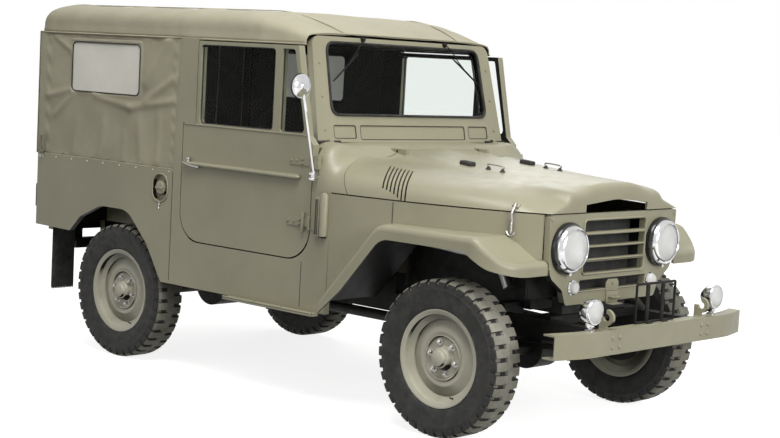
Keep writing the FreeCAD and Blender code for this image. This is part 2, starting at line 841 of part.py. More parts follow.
# Floor
def make_floor():
    """Flat plates beside the tunnel cover, the riser to the load floor, and the boxes under the seats."""
    inner = BODY_INNER - s.seat
    t = s.sheet_t
    edge = s.tunnel_half + s.seat
    front = at(s.firewall) - s.seat
    seat_base = s.seat_z - s.cushion_t - s.seat
    riser = box("riser_plate", at(s.riser) - t, at(s.riser), -inner, inner, s.floor_z, s.rear_floor_z + t)
    hollow = box("tunnel_hollow", at(s.riser) - BEYOND, at(s.firewall) + BEYOND, -s.tunnel_half + t,
                 s.tunnel_half - t, s.floor_z - BEYOND, s.tunnel_z - t)
    solids = [cut("floor_riser", riser, hollow)]
    for side, sign in SIDES:
        solids.append(block(f"floor_plate_{side}", at(s.riser) + s.seat, front, sign, edge, inner, s.floor_z,
                            s.floor_z + t))
        solids.append(block(f"seat_box_{side}", at(s.seat_rear) - 5, at(s.seat_front) - 30, sign, edge,
                            s.seat_y + s.seat_half - 30, s.floor_z + t + s.seat, seat_base))
    keep("front_floor", together("front_floor", *solids))
    cover = box("tunnel_cover", at(s.riser) + s.seat, front, -s.tunnel_half, s.tunnel_half, s.floor_z,
                s.tunnel_z)
    keep("tunnel", cut("tunnel", cover, hollow))


def make_rear_floor():
    """The load floor with its wheel boxes, its posts down to the frame, and the sill under the gate."""
    inner = BODY_INNER - s.seat
    t = s.sheet_t
    rear = at(-s.body_rear) + s.gate_t + s.gap
    box_in = s.rear_track_half - s.tyre_w / 2 - 60
    box_top = s.arch_top + 30
    box_rear, box_front = at(-s.arch_rear) + 14, at(430)
    solids = [
        box("rear_plate", rear, at(s.riser) - t - s.seat, -inner, inner, s.rear_floor_z, s.rear_floor_z + t),
        box("rear_sill", at(-s.body_rear), rear + 28, -GATE_HALF, GATE_HALF, 612, s.gate_z - s.gap),
        box("rear_sill_web", rear, rear + 28, -GATE_HALF, GATE_HALF, 612, s.rear_floor_z),
    ]
    holes = []
    for side, sign in SIDES:
        solids.append(block(f"wheel_box_{side}", box_rear, box_front, sign, box_in, inner,
                            s.rear_floor_z - 10,
                            box_top))
        holes.append(block(f"wheel_box_hollow_{side}", box_rear + t, box_front - t, sign, box_in + t,
                           inner + BEYOND, s.rear_floor_z - BEYOND, box_top - t))
        for name, x0 in (("rear", -640), ("mid", -150), ("fore", 380)):
            solids.append(block(f"floor_post_{name}_{side}", at(x0), at(x0 + 40), sign, RAIL_IN, RAIL_OUT,
                                RAIL_TOP + s.seat, s.rear_floor_z))
        outer = at(-s.body_rear) - s.leaf_t + 1
        solids.append(block(f"gate_leaf_{side}", outer, at(-s.body_rear), sign, GATE_PIN_OUT, GATE_CAR_OUT,
                            620,
                            s.gate_axis_z))
        solids.append(y_rod(f"gate_knuckle_{side}", s.gate_barrel_r, sign, GATE_PIN_OUT, GATE_CAR_OUT,
                            at(-s.gate_axis), s.gate_axis_z))
        solids.append(y_rod(f"gate_pin_{side}", s.gate_barrel_r / 2, sign, GATE_PIN_IN, GATE_CAR_OUT,
                            at(-s.gate_axis), s.gate_axis_z))
    keep("rear_floor", cut("rear_floor", fuse("rear_floor_solid", *solids), *holes))


# Body sides, doors and tailgate
def door_outline(clear):
    """The door's outline in X and Z, grown by a clearance."""
    rear, front = at(s.door_rear) - clear, at(s.door_front) + clear
    return [
        (rear, s.door_bottom - clear, s.door_corner),
        (front, s.door_bottom - clear, s.door_corner),
        (front, s.door_waist_z - s.door_shoulder),
        (at(s.door_waist_front) + clear, s.door_waist_z),
        (at(s.door_top_front) + clear, s.door_top_z + clear),
        (at(s.door_upper_rear) - clear, s.door_top_z + clear),
        (at(s.door_upper_rear) - clear, s.door_waist_z + clear),
        (rear, s.door_waist_z + clear),
    ]


def make_body_side():
    """The right-hand side: rear quarter, door post, sill under the door and cowl side."""
    front = at(s.firewall) + 20
    ledge = at(s.cowl_rear) + 24
    outline = [
        (at(-s.body_rear), s.body_bottom_rear),
        (at(-s.arch_rear), s.arch_base),
        (at(-s.arch_rear) + 90, s.arch_top - 75, 60),
        (at(-150), s.arch_top, 150),
        (at(80), s.arch_top, 150),
        (at(s.arch_front), s.arch_base, 60),
        (at(s.sill_start), s.sill_z),
        (front, s.sill_z),
        (front, s.hood_z - s.seat),
        (ledge, s.hood_z - s.seat),
        (ledge, s.belt_z),
        (at(s.door_upper_rear) + 20, s.belt_z),
        (at(s.door_upper_rear) + 20, s.hem_z - s.seat),
        (at(s.b_post_top), s.hem_z - s.seat),
        (at(s.b_post_low), s.belt_z),
        (at(-s.body_rear), s.belt_z),
    ]
    side = slab("side_panel", "XZ", -BODY_HALF, -BODY_INNER, outline)
    pocket(side, "XZ", -BODY_HALF - BEYOND, -BODY_INNER + BEYOND, door_outline(s.gap))
    return side


def hinge_place():
    return at(s.door_front) + s.gap / 2, -BODY_HALF - s.hinge_out


def car_hinge(name, z, root=0):
    """The fixed half of a door hinge: leaf, two outer barrels and the pin through them."""
    x, y = hinge_place()
    gap = s.seat
    tab = s.barrel_half * 0.6
    leaf = box(name + "_leaf", x + s.barrel_r + 2, x + 42, -BODY_HALF - s.leaf_t, -BODY_HALF + root,
               z - s.barrel_half - tab, z + s.barrel_half + tab)
    solids = [leaf, rod(name + "_pin", "z", s.pin_r, (s.barrel_half + tab) * 2, x, y,
                        z - s.barrel_half - tab)]
    for end, z0 in (("top", z + s.barrel_half + gap), ("foot", z - s.barrel_half - tab)):
        height = tab - gap
        solids.append(rod(f"{name}_{end}", "z", s.barrel_r, height, x, y, z0))
        solids.append(box(f"{name}_{end}_web", x, x + s.barrel_r + 4, -BODY_HALF - s.leaf_t,
                          -BODY_HALF - 1, z0, z0 + height))
    return fuse(name, *solids)


def door_hinge(name, z):
    """The moving half: a long strap on the door's skin and the middle barrel."""
    x, y = hinge_place()
    strap = box(name + "_strap", at(s.door_waist_front) - 110, x - 2, -BODY_HALF - s.leaf_t, -BODY_HALF,
                z - s.barrel_half, z + s.barrel_half)
    return fuse(name, strap, rod(name + "_barrel", "z", s.barrel_r, s.barrel_half * 2, x, y,
                                 z - s.barrel_half))


def hinge_bore(name, z):
    x, y = hinge_place()
    return rod(name, "z", s.pin_r + s.run_fit, s.barrel_half * 3, x, y, z - s.barrel_half * 1.5)


def make_body():
    side = make_body_side()
    post = box("rear_post", at(-s.body_rear), at(-s.body_rear) + s.gate_t, -BODY_HALF, -(GATE_HALF + s.gap),
               s.body_bottom_rear, s.belt_z)
    low = car_hinge("car_hinge_low", s.hinge_low)
    both = fuse("body_side", side, post, low)
    keep("body_side_left", mirror("body_side_left", both))
    keep("body_side_right", make_filler(both))


def make_filler(side):
    """The right side with the round-cornered recess for the fuel cap, and the cap in it."""
    x, z = at(s.filler_x), s.filler_z
    floor = -BODY_HALF + s.filler_depth
    recess = slab("filler_recess", "XZ", -BODY_HALF - BEYOND, floor, rectangle(
        x - s.filler_half, x + s.filler_half, z - s.filler_high, z + s.filler_high, s.filler_half * 0.9))
    cap = rod("filler_cap", "y", s.filler_cap_r, s.filler_depth * 0.8, x, floor - s.filler_depth * 0.8, z)
    lug_bar = box("filler_grip", x - s.filler_cap_r, x + s.filler_cap_r, floor - s.filler_depth, floor,
                  z - 5, z + 5)
    return fuse("body_side_right", cut("side_recessed", side, recess), cap, lug_bar)


def window_outline():
    rear = at(s.door_upper_rear) + 18
    front = at(s.vent_post) - s.vent_post_w / 2
    return [(rear, s.window_low, 22), (front, s.window_low, 22), (front, s.window_high, 22),
            (rear, s.window_high, 22)]


def vent_outline():
    rear = at(s.vent_post) + s.vent_post_w / 2
    return [(rear, s.window_low, 12), (at(s.door_waist_front) - 21, s.window_low, 25),
            (at(s.door_top_front) - 22, s.window_high, 20), (rear, s.window_high, 12)]


def make_doors():
    door = slab("door_panel", "XZ", -BODY_HALF, -(BODY_HALF - s.door_t), door_outline(as_size(0)))
    panes = []
    mid = BODY_HALF - s.door_t / 2
    for name, outline in (("main", window_outline()), ("vent", vent_outline())):
        pocket(door, "XZ", -BODY_HALF - BEYOND, -(BODY_HALF - s.door_t) + BEYOND, outline)
        panes.append(slab(f"{name}_pane", "XZ", -(mid + s.glass_t / 2), -(mid - s.glass_t / 2), outline))
    straps = [door_hinge("door_hinge_high", s.hinge_high), door_hinge("door_hinge_low", s.hinge_low)]
    bores = [hinge_bore("door_bore_high", s.hinge_high), hinge_bore("door_bore_low", s.hinge_low)]
    right = cut("door_right", fuse("door_solid", door, *straps), *bores)
    glass = together("door_glass_right", *panes)
    for name, thing in (("door", right), ("door_glass", glass)):
        keep(f"{name}_right", thing)
        keep(f"{name}_left", mirror(f"{name}_left", thing))


def make_tailgate():
    gate = slab("gate_panel", "YZ", at(-s.body_rear), at(-s.body_rear) + s.gate_t,
                rectangle(-GATE_HALF + s.gap, GATE_HALF - s.gap, s.gate_z, s.belt_z - s.gap))
    solids = [gate]
    bores = []
    for side, sign in SIDES:
        outer = at(-s.body_rear) - s.leaf_t + 1
        solids.append(block(f"tail_leaf_{side}", outer, at(-s.body_rear), sign, GATE_PIN_IN,
                            GATE_PIN_OUT - s.seat, s.gate_axis_z, s.gate_z + 38))
        solids.append(y_rod(f"tail_barrel_{side}", s.gate_barrel_r, sign, GATE_PIN_IN, GATE_PIN_OUT - s.seat,
                            at(-s.gate_axis), s.gate_axis_z))
        bores.append(y_rod(f"tail_bore_{side}", s.gate_barrel_r / 2 + s.run_fit, sign, GATE_PIN_IN - 10,
                           GATE_PIN_OUT, at(-s.gate_axis), s.gate_axis_z))
    keep("tailgate", cut("tailgate", fuse("tailgate_solid", *solids), *bores))


# Nose: one smooth skin gives the cowl, the hood and the line of the engine's side panels
def skin(rows):
    """A smooth sheet over rows of points: through each row, and drawn along the rows as control lines."""
    middle = rows[len(rows) // 2]
    lengths = [0.0]
    for a, b in zip(middle[:-1], middle[1:]):
        lengths.append(lengths[-1] + (b - a).Length)
    poles = []
    for row in rows:
        curve = Part.BSplineCurve()
        curve.interpolate(Points=row, Parameters=lengths)
        poles.append(curve.getPoles())
    spans = len(rows) - 3
    ends = [4] + [1] * (spans - 1) + [4]
    surface = Part.BSplineSurface()
    surface.buildFromPolesMultsKnots(poles, ends, curve.getMultiplicities(), list(range(spans + 1)),
                                     curve.getKnots(), False, False, 3, 3)
    return surface


def closed_under(surface):
    """The solid between a skin and flat faces under it and behind it."""
    first_u, last_u, first_v, last_v = surface.bounds()
    rear, front = surface.uIso(first_u), surface.uIso(last_u)
    right, left = surface.vIso(first_v), surface.vIso(last_v)
    sill = Part.LineSegment(rear.StartPoint, rear.EndPoint).toShape()
    back = Part.Face(Part.Wire([rear.toShape(), sill]))
    under = Part.Face(Part.Wire(Part.__sortEdges__([right.toShape(), front.toShape(), left.toShape(),
                                                    sill])))
    shell = Part.makeShell([surface.toShape(), back, under])
    shell.sewShape()
    solid = Part.makeSolid(Part.Shell(shell.Faces))
    if solid.Volume < 0:
        solid.reverse()
    return solid


# Shape of the shoulder from the crease out to the edge, as shares of the width and of the height
FULL_SHOULDER = ((0.45, 0.93), (0.78, 0.74), (0.95, 0.42))
DRAWN_SHOULDER = ((0.33, 0.60), (0.66, 0.29), (0.90, 0.07))


def nose_stations():
    """(X, half width, height at the centre, height at the crease, fullness, height share) along the nose."""
    w, n = BODY_HALF, NOSE_HALF
    span = w - n
    return [
        (at(1570), w - span * 0.01, 203, 178, 1.0, 1.0),
        (at(1620), w - span * 0.02, 198, 172, 1.0, 1.0),
        (at(1740), w - span * 0.055, 184, 160, 0.98, 1.0),
        (at(1950), w - span * 0.127, 158, 140, 0.95, 1.0),
        (ahead(-120), w - span * 0.27, 145, 128, 0.88, 1.0),
        (ahead(40), w - span * 0.45, 137, 120, 0.78, 1.0),
        (ahead(170), w - span * 0.64, 132, 113, 0.60, 1.0),
        (ahead(260), w - span * 0.79, 130, 106, 0.35, 1.0),
        (ahead(320), w - span * 0.90, 130, 98, 0.12, 1.0),
        (ahead(s.nose) - 28, n + 11, 130, 92, 0.0, 1.0),
        (ahead(s.nose) - 4, n + 3, 128, 88, 0.0, 0.96),
        (ahead(s.nose) + 4, n - 1, 126, 86, 0.0, 0.66),
        (ahead(s.nose) + 4, n - 4, 124, 84, 0.0, 0.33),
        (ahead(s.nose) + 4, n - 8, 124, 84, 0.0, 0.0),
    ]


def crease_out(x):
    """How far out the hood's crease runs: a little nearer the middle towards the nose."""
    return s.crease_y.value - 0.027 * max(0.0, x - at(1600).value)


def nose_row(x, half, top, crease, full, share, inset):
    """Points of one cross-section, right edge to left edge, all set in by the sheet's thickness."""
    base = s.hood_z.value
    y_crease = crease_out(x)
    fade = min(1.0, max(0.0, (ahead(0).value - x) / (ahead(0).value - at(1725).value)))
    step = s.crease_step.value * fade
    out = y_crease + 14
    right = [(y_crease * 0.6, top - (top - crease) * 0.3), (y_crease, crease), (out, crease - step)]
    for drawn, rounded in zip(DRAWN_SHOULDER, FULL_SHOULDER):
        across = drawn[0] + (rounded[0] - drawn[0]) * full
        up = drawn[1] + (rounded[1] - drawn[1]) * full
        right.append((out + (half - out) * across, (crease - step) * up))
    right.append((half, 0.0))
    narrow = 1 - inset / half
    both = [(-y, z) for y, z in reversed(right)] + [(0.0, top)] + right
    return [FreeCAD.Vector(x - inset, y * narrow, base + z * share - inset) for y, z in both]


def scuttle_row(x, inset):
    """The flat-topped cross-section under the windscreen, with the slanted bases of its posts."""
    base, w = s.hood_z.value, BODY_HALF.value
    top = s.screen_z.value - s.seat.value - base
    right = [(w * 0.25, top), (w * 0.42, top), (w * 0.47, top), (w * 0.76, top - 1), (w * 0.885, top - 4),
             (w * 0.975, top - 85), (w, 0.0)]
    narrow = 1 - inset / w
    both = [(-y, z) for y, z in reversed(right)] + [(0.0, top)] + right
    return [FreeCAD.Vector(x - inset, y * narrow, base + z - inset) for y, z in both]


def nose_rows(inset):
    rows = [scuttle_row(at(x).value, inset) for x in (s.cowl_rear, 1420, 1470, 1520)]
    for x, half, top, crease, full, share in nose_stations():
        rows.append(nose_row(x.value, as_size(half).value, top, crease, full, share, inset))
    return rows


def nose_shell():
    """The sheet over the whole nose: the outer form less the same form set in."""
    outer = closed_under(skin(nose_rows(0)))
    inner = closed_under(skin(nose_rows(s.hood_sheet.value)))
    return outer.cut(inner)


def split_tool(shift, forward):
    """A block ahead of, or behind, the curved joint between the cowl and the hood."""
    top = at(s.hood_joint_top).value + shift
    side = at(s.hood_joint_side).value + shift
    base = s.hood_z.value
    high, low = base + 260, base - 40
    reach = 3000 if forward else -3000
    wide = BODY_HALF.value + 120
    curve = Part.BSplineCurve()
    curve.interpolate([FreeCAD.Vector(x, -wide, z)
                       for x, z in ((top, base + 165), (top + 34, base + 110), (side, low))])
    corners = [FreeCAD.Vector(side, -wide, low), FreeCAD.Vector(top + reach, -wide, low),
               FreeCAD.Vector(top + reach, -wide, high), FreeCAD.Vector(top, -wide, high),
               FreeCAD.Vector(top, -wide, base + 165)]
    edges = [curve.toShape()] + [Part.LineSegment(a, b).toShape() for a, b in zip(corners[:-1], corners[1:])]
    return Part.Face(Part.Wire(edges)).extrude(FreeCAD.Vector(0, wide * 2, 0))


# Rise of the fender's rear slope for each unit along it
FOOT_SLOPE = 1.141


def nose_edge(side, inset, z):
    """The plan line of the nose's edge, at a height."""
    points = [(row[-1].x, row[-1].y) for row in nose_rows(0)]
    spans = len(points) - 3
    curve = Part.BSplineCurve()
    curve.buildFromPolesMultsKnots([FreeCAD.Vector(x, side * (y - inset), z) for x, y in points],
                                   [4] + [1] * (spans - 1) + [4], list(range(spans + 1)), False, 3)
    return curve


def make_engine_sides():
    """Upright panels along both sides of the engine, from the fenders' tops to the hood's edge."""
    low, high = s.fender_foot_top.value, s.hood_z.value - s.gap.value
    x_low = at(s.firewall).value + 20 + s.seat.value
    x_high = ahead(s.nose).value - s.panel_t.value - s.seat.value
    solids = []
    for side, sign in SIDES:
        outer, inner = nose_edge(sign, 0, low), nose_edge(sign, s.side_sheet.value, low)
        edges = [outer.toShape(), Part.LineSegment(outer.EndPoint, inner.EndPoint).toShape(),
                 inner.toShape(),
                 Part.LineSegment(inner.StartPoint, outer.StartPoint).toShape()]
        wall = Part.Face(Part.Wire(edges)).extrude(FreeCAD.Vector(0, 0, high - low))
        wide = BODY_HALF.value * 2
        span = Part.makeBox(x_high - x_low, wide, high * 2, FreeCAD.Vector(x_low, -wide / 2, 0))
        solids += wall.common(span).Solids
    walls = shape_of("engine_walls", Part.makeCompound(solids))
    line = set_in(fender_top_line(), -s.seat)
    foot, tip = line[0], line[-1]
    below = slab("below_fender", "XZ", -FENDER_HALF, FENDER_HALF, [
        (foot[0] - BEYOND, foot[1] - BEYOND * FOOT_SLOPE)] + line[1:-1] + [
        (tip[0] + BEYOND, tip[1]), (tip[0] + BEYOND, 300), (foot[0] - BEYOND, 300)])
    keep("engine_sides", cut("engine_sides", walls, below))


def hood_hinge(sign, side):
    """One hood hinge: the hood's strap and barrel, and the cowl's foot, outer barrels and pin."""
    x, y, z, r = at(s.hood_axis), s.hood_hinge_y, s.hood_hinge_z, 6
    split = at(s.hood_joint_top)
    strap_low = z - r + 1
    moving = [block(f"hood_strap_{side}", x, split + 60, sign, y - 10, y + 10, strap_low, z + 1),
              block(f"hood_strap_foot_{side}", split + s.gap + 3, split + 60, sign, y - 10, y + 10, z - 40,
                    z),
              y_rod(f"hood_barrel_{side}", r, sign, y - 10, y + 10, x, z)]
    fixed = [y_rod(f"hood_pin_{side}", 3, sign, y - 20, y + 20, x, z)]
    for end, y0, y1 in (("in", y - 20, y - 10 - s.seat), ("out", y + 10 + s.seat, y + 20)):
        fixed.append(y_rod(f"cowl_barrel_{end}_{side}", r, sign, y0, y1, x, z))
        fixed.append(block(f"cowl_foot_{end}_{side}", x - 30, x, sign, y0, y1, z - 30, z))
    bore = y_rod(f"hood_bore_{side}", 3 + s.run_fit, sign, y - 15, y + 15, x, z)
    return moving, fixed, bore


def louvres():
    """Seven slanting slots through the hood's right shoulder, drawn from above."""
    slots = []
    for number in range(7):
        top = at(s.louvre_x) + s.louvre_pitch * number
        low = top + s.louvre_lean
        slots.append([(top, -s.louvre_top_y), (low, -s.louvre_low_y), (low + s.louvre_w, -s.louvre_low_y),
                      (top + s.louvre_w, -s.louvre_top_y)])
    return together("louvres_right", *[slab(f"louvre_{number}", "XY", s.hood_z, s.hood_z + 200, outline)
                                       for number, outline in enumerate(slots)])


def make_nose():
    shell = nose_shell()
    front = shell.common(split_tool(s.gap.value, True))
    rear = shell.common(split_tool(0, False))
    slot = slab("hood_slot", "YZ", ahead(s.nose) - 90, ahead(s.nose) + BEYOND, [
        (-245, s.hood_z - BEYOND), (245, s.hood_z - BEYOND), (245, s.hood_z + 34), (0, s.hood_z + 56, 500),
        (-245, s.hood_z + 34)])
    hood_solids, bores = [shape_of("hood_sheet", front)], [slot]
    room = slab("door_room_right", "XZ", -BODY_HALF - BEYOND, -(BODY_HALF - s.door_t) + 20,
                door_outline(s.gap))
    screen_seat = box("screen_seat", at(s.cowl_rear) - BEYOND, at(s.screen_x) + s.gap, -BODY_HALF, BODY_HALF,
                      s.screen_z - s.seat, s.screen_z + 100)
    cowl_solids = [cut("cowl_trim", shape_of("cowl_sheet", rear), room, mirror("door_room_left", room),
                       screen_seat)]
    for side, sign in SIDES:
        moving, fixed, bore = hood_hinge(sign, side)
        hood_solids += moving
        cowl_solids += fixed
        bores.append(bore)
    vents = louvres()
    bores += [vents, mirror("louvres_left", vents)]
    keep("hood", cut("hood", fuse("hood_solid", *hood_solids), *bores))
    top_hinge = car_hinge("car_hinge_high", s.hinge_high, root=15)
    keep("cowl", fuse("cowl", *cowl_solids, top_hinge, mirror("car_hinge_high_left", top_hinge)))


# Fenders
def fender_top_line():
    """The crown of the fender in X and Z, from its foot behind the wheel to its front."""
    return [
        (at(s.fender_foot), s.fender_foot_top),
        (at(s.fender_knee), s.fender_top, 110),
        (ahead(s.fender_drop), s.fender_top, 70),
        (ahead(s.fender_front) - 54, s.fender_front_z + 8, 60),
        (ahead(s.fender_front), s.fender_front_z),
    ]


def fender_lip_line():
    """The lower edge of the fender's rolled lip."""
    return [
        (at(s.fender_foot), s.fender_foot_z),
        (at(s.fender_foot) + 140, s.fender_foot_z + 125, 300),
        (at(s.fender_knee) + 30, s.fender_lip, 110),
        (ahead(s.fender_drop) - 55, s.fender_lip, 80),
        (ahead(s.fender_drop) + 60, s.fender_front_lip + 30, 100),
        (ahead(s.fender_front), s.fender_front_lip),
    ]


def set_in(line, depth):
    """An open line moved square to itself, down and inward, by a depth."""
    flat = [FreeCAD.Vector(as_size(p[0]).value, as_size(p[1]).value, 0) for p in line]
    moved = []
    for i, point in enumerate(line):
        before = (flat[i] - flat[i - 1]).normalize() if i else (flat[1] - flat[0]).normalize()
        after = (flat[i + 1] - flat[i]).normalize() if i + 1 < len(line) else before
        share = 1 + before.dot(after)
        across = (before.y + after.y) / share
        down = (before.x + after.x) / share
        corner = [point[0] + depth * across, point[1] - depth * down]
        if len(point) == 3:
            turns_down = before.cross(after).z < 0
            corner.append(point[2] - depth if turns_down else point[2] + depth)
        moved.append(tuple(corner))
    return moved


def fender_plan(inset):
    """The fender's outline from above, with its rounded front corner."""
    front = ahead(s.fender_front) - inset
    rear = at(s.fender_foot) - (BEYOND if as_size(inset).value else 0)
    return [(rear, -FENDER_HALF + inset), (front, -FENDER_HALF + inset, s.fender_corner - inset),
            (front, -s.apron_y + (BEYOND if as_size(inset).value else 0)),
            (rear, -s.apron_y + (BEYOND if as_size(inset).value else 0))]


def crown_edges(shape):
    """Numbers of the outer edges along the top of a fender."""
    crown = [(as_size(p[0]).value, as_size(p[1]).value) for p in fender_top_line()]
    lip = [(as_size(p[0]).value, as_size(p[1]).value) for p in fender_lip_line()]
    found = []
    for number, edge in enumerate(shape.Edges, start=1):
        mid = edge.valueAt((edge.FirstParameter + edge.LastParameter) / 2)
        top, foot = height_on(crown, mid.x), height_on(lip, mid.x)
        outside = mid.y < -FENDER_HALF.value + 0.1 or not inside_plan(mid)
        level = abs(edge.tangentAt(edge.FirstParameter).y) > 0.99 and mid.x < ahead(s.fender_front).value - 1
        if outside and not level and mid.z > top - 0.35 * (top - foot) and edge.Length > 2:
            if mid.x > at(s.fender_foot).value + 1:
                found.append(number)
    return found


def height_on(line, x):
    for (x0, z0), (x1, z1) in zip(line[:-1], line[1:]):
        if x0 <= x <= x1:
            return z0 + (z1 - z0) * (x - x0) / (x1 - x0)
    return line[-1][1]


def inside_plan(point):
    """True for a point well within the fender's plan, away from its front edge and corner."""
    front, side, r = ahead(s.fender_front).value, -FENDER_HALF.value, s.fender_corner.value
    if point.x > front - r and point.y < side + r:
        return math.hypot(point.x - (front - r), point.y - (side + r)) < r - 1
    return point.x < front - 1


def make_fenders():
    crown, lip = fender_top_line(), fender_lip_line()
    band = slab("fender_band", "XZ", -FENDER_HALF, -s.apron_y, crown + lip[::-1])
    plan = slab("fender_plan", "XY", 0, s.fender_top * 2, fender_plan(as_size(0)))
    outer = overlap("fender_form", band, plan)
    doc.recompute()
    rounded = doc.addObject("Part::Fillet", "fender_rounded")
    rounded.Base = outer
    radius = s.fender_round.value
    rounded.Edges = [(number, radius, radius) for number in crown_edges(outer.Shape)]
    under = set_in(crown, s.fender_t)
    start, end = under[0], under[-1]
    under = [(start[0] - BEYOND, start[1] - BEYOND * FOOT_SLOPE)] + under[1:-1] + [
        (end[0] + BEYOND, end[1]), (end[0] + BEYOND, 100), (start[0] - BEYOND, 100)]
    room = slab("fender_room", "XZ", -FENDER_HALF - BEYOND, -s.apron_y + BEYOND, under)
    room_plan = slab("fender_room_plan", "XY", -BEYOND, s.fender_top * 2 + BEYOND, fender_plan(s.fender_t))
    hollow = overlap("fender_hollow", room, room_plan)
    body_edge = box("fender_body_edge", at(s.firewall) - 100, at(s.firewall) + 20 + s.seat,
                    -(BODY_HALF + s.seat), 0, 300, 1200)
    nose_edge_cut = box("fender_nose_edge", ahead(s.nose) - s.panel_t - s.seat, ahead(s.nose) + 100,
                        -(NOSE_HALF + s.seat), 0, 300, 1200)
    right = cut("fender_right", rounded, hollow, body_edge, nose_edge_cut)
    keep("fender_right", right)
    keep("fender_left", mirror("fender_left", right))


# Front panel and lamps
def make_front_panel():
    low = 150
    half = [(NOSE_HALF, s.hood_z - s.gap, 12), (NOSE_HALF - 8, s.lamp_z - 60), (NOSE_HALF - 28, 750, 60),
            (NOSE_HALF - 120, 690, 40), (NOSE_HALF - low, s.panel_bottom, 20)]
    other = [(-point[0], point[1]) + tuple(point[2:]) for point in half]
    panel = slab("front_panel", "YZ", ahead(s.nose) - s.panel_t, ahead(s.nose), other + half[::-1])
    pitch = (s.grille_top - s.grille_bottom + s.bar_h) / 4
    holes = [rectangle(-s.grille_half, s.grille_half, s.grille_bottom + pitch * row,
                       s.grille_bottom + pitch * (row + 1) - s.bar_h) for row in range(4)]
    holes.append(rectangle(-s.slot_half, s.slot_half, s.slot_bottom, s.slot_top))
    pocket(panel, "YZ", ahead(s.nose) - s.panel_t - BEYOND, ahead(s.nose) + BEYOND, *holes)
    keep("front_panel", panel)


def lamp(name, radius, depth):
    """A round lamp about its own Z axis, its back at zero: bezel, stepped rim and domed lens."""
    return lathe(name, [
        (0, 0),
        (radius, 0),
        (radius, depth * 0.3),
        (radius * 0.88, depth * 0.75),
        (radius * 0.80, depth * 0.62),
        (radius * 0.45, depth * 0.9),
        (0, depth),
    ])


def place_lamp(thing, x, y, z):
    turn(thing, (0, 1, 0), 90)
    place(thing, x, y, z)
    return thing


def make_lamps():
    lamps = []
    fogs = []
    fog_x = ahead(s.front_reach) - 105
    for side, sign in SIDES:
        lamps.append(place_lamp(lamp(f"headlamp_{side}", s.lamp_r, as_size(60)), ahead(s.nose),
                                s.lamp_y * sign, s.lamp_z))
        lamps.append(place_lamp(lamp(f"parking_lamp_{side}", s.park_r, as_size(30)), ahead(s.nose),
                                s.park_y * sign, s.park_z))
        bowl = lathe(f"fog_bowl_{side}", [
            (0, 0), (s.fog_r * 0.45, s.fog_depth * 0.07), (s.fog_r * 0.8, s.fog_depth * 0.3),
            (s.fog_r, s.fog_depth * 0.75), (s.fog_r * 0.9, s.fog_depth * 0.9), (0, s.fog_depth)])
        place_lamp(bowl, fog_x, s.fog_y * sign, s.fog_z)
        stalk_z = BUMPER_TOP + s.seat
        stalk = rod(f"fog_stalk_{side}", "z", 9, s.fog_z - s.fog_r * 0.5 - stalk_z,
                    fog_x + s.fog_depth * 0.6,
                    s.fog_y * sign, stalk_z)
        fogs.append(fuse(f"fog_{side}", bowl, stalk))
    keep("front_lamps", together("front_lamps", *lamps))
    keep("fog_lamps", together("fog_lamps", *fogs))


# Bumper
def bumper_plan(inset, back):
    """The bumper's plan: straight across the car, its ends swept back."""
    front = ahead(s.front_reach) - inset
    half = s.bumper_half + back
    back_x = ahead(s.front_reach) - s.bumper_depth - back
    swept = s.bumper_sweep
    bend = s.bumper_bend
    return [
        (front, -bend, 400), (front - swept, -half), (back_x - swept, -half), (back_x, -bend, 400),
        (back_x, bend, 400), (back_x - swept, half), (front - swept, half), (front, bend, 400),
    ]


def make_bumper():
    beam = slab("bumper_beam", "XY", s.bumper_z, BUMPER_TOP, bumper_plan(as_size(0), as_size(0)))
    hollow = slab("bumper_hollow", "XY", s.bumper_z + s.bumper_t, BUMPER_TOP - s.bumper_t,
                  bumper_plan(s.bumper_t, as_size(20)))
    arms = [block(f"bumper_arm_{side}", ahead(s.rail_front) + s.seat, ahead(s.front_reach) - s.bumper_t,
                  sign,
                  s.rail_y - 25, s.rail_y + 25, s.rail_bottom + 10, RAIL_TOP - 10) for side, sign in SIDES]
    hooks = [tow_hook(side, sign) for side, sign in SIDES]
    keep("front_bumper", fuse("front_bumper", cut("bumper_channel", beam, hollow), *arms, *hooks))


def tow_hook(side, sign):
    """An open hook, cut from thick plate, standing on a bumper arm."""
    x, z = ahead(s.front_reach) - 38, s.hook_z
    y0, y1 = s.hook_y - s.hook_t / 2, s.hook_y + s.hook_t / 2
    ring = y_rod(f"hook_ring_{side}", s.hook_r, sign, y0, y1, x, z)
    foot = block(f"hook_foot_{side}", x - s.hook_r, x, sign, y0, y1, RAIL_TOP - 15, z)
    throat = y_rod(f"hook_throat_{side}", s.hook_bore_r, sign, y0 - 1, y1 + 1, x, z)
    mouth = block(f"hook_mouth_{side}", x - s.hook_r, x, sign, y0 - 1, y1 + 1, z, z + s.hook_r)
    return cut(f"hook_{side}", fuse(f"hook_solid_{side}", ring, foot), throat, mouth)


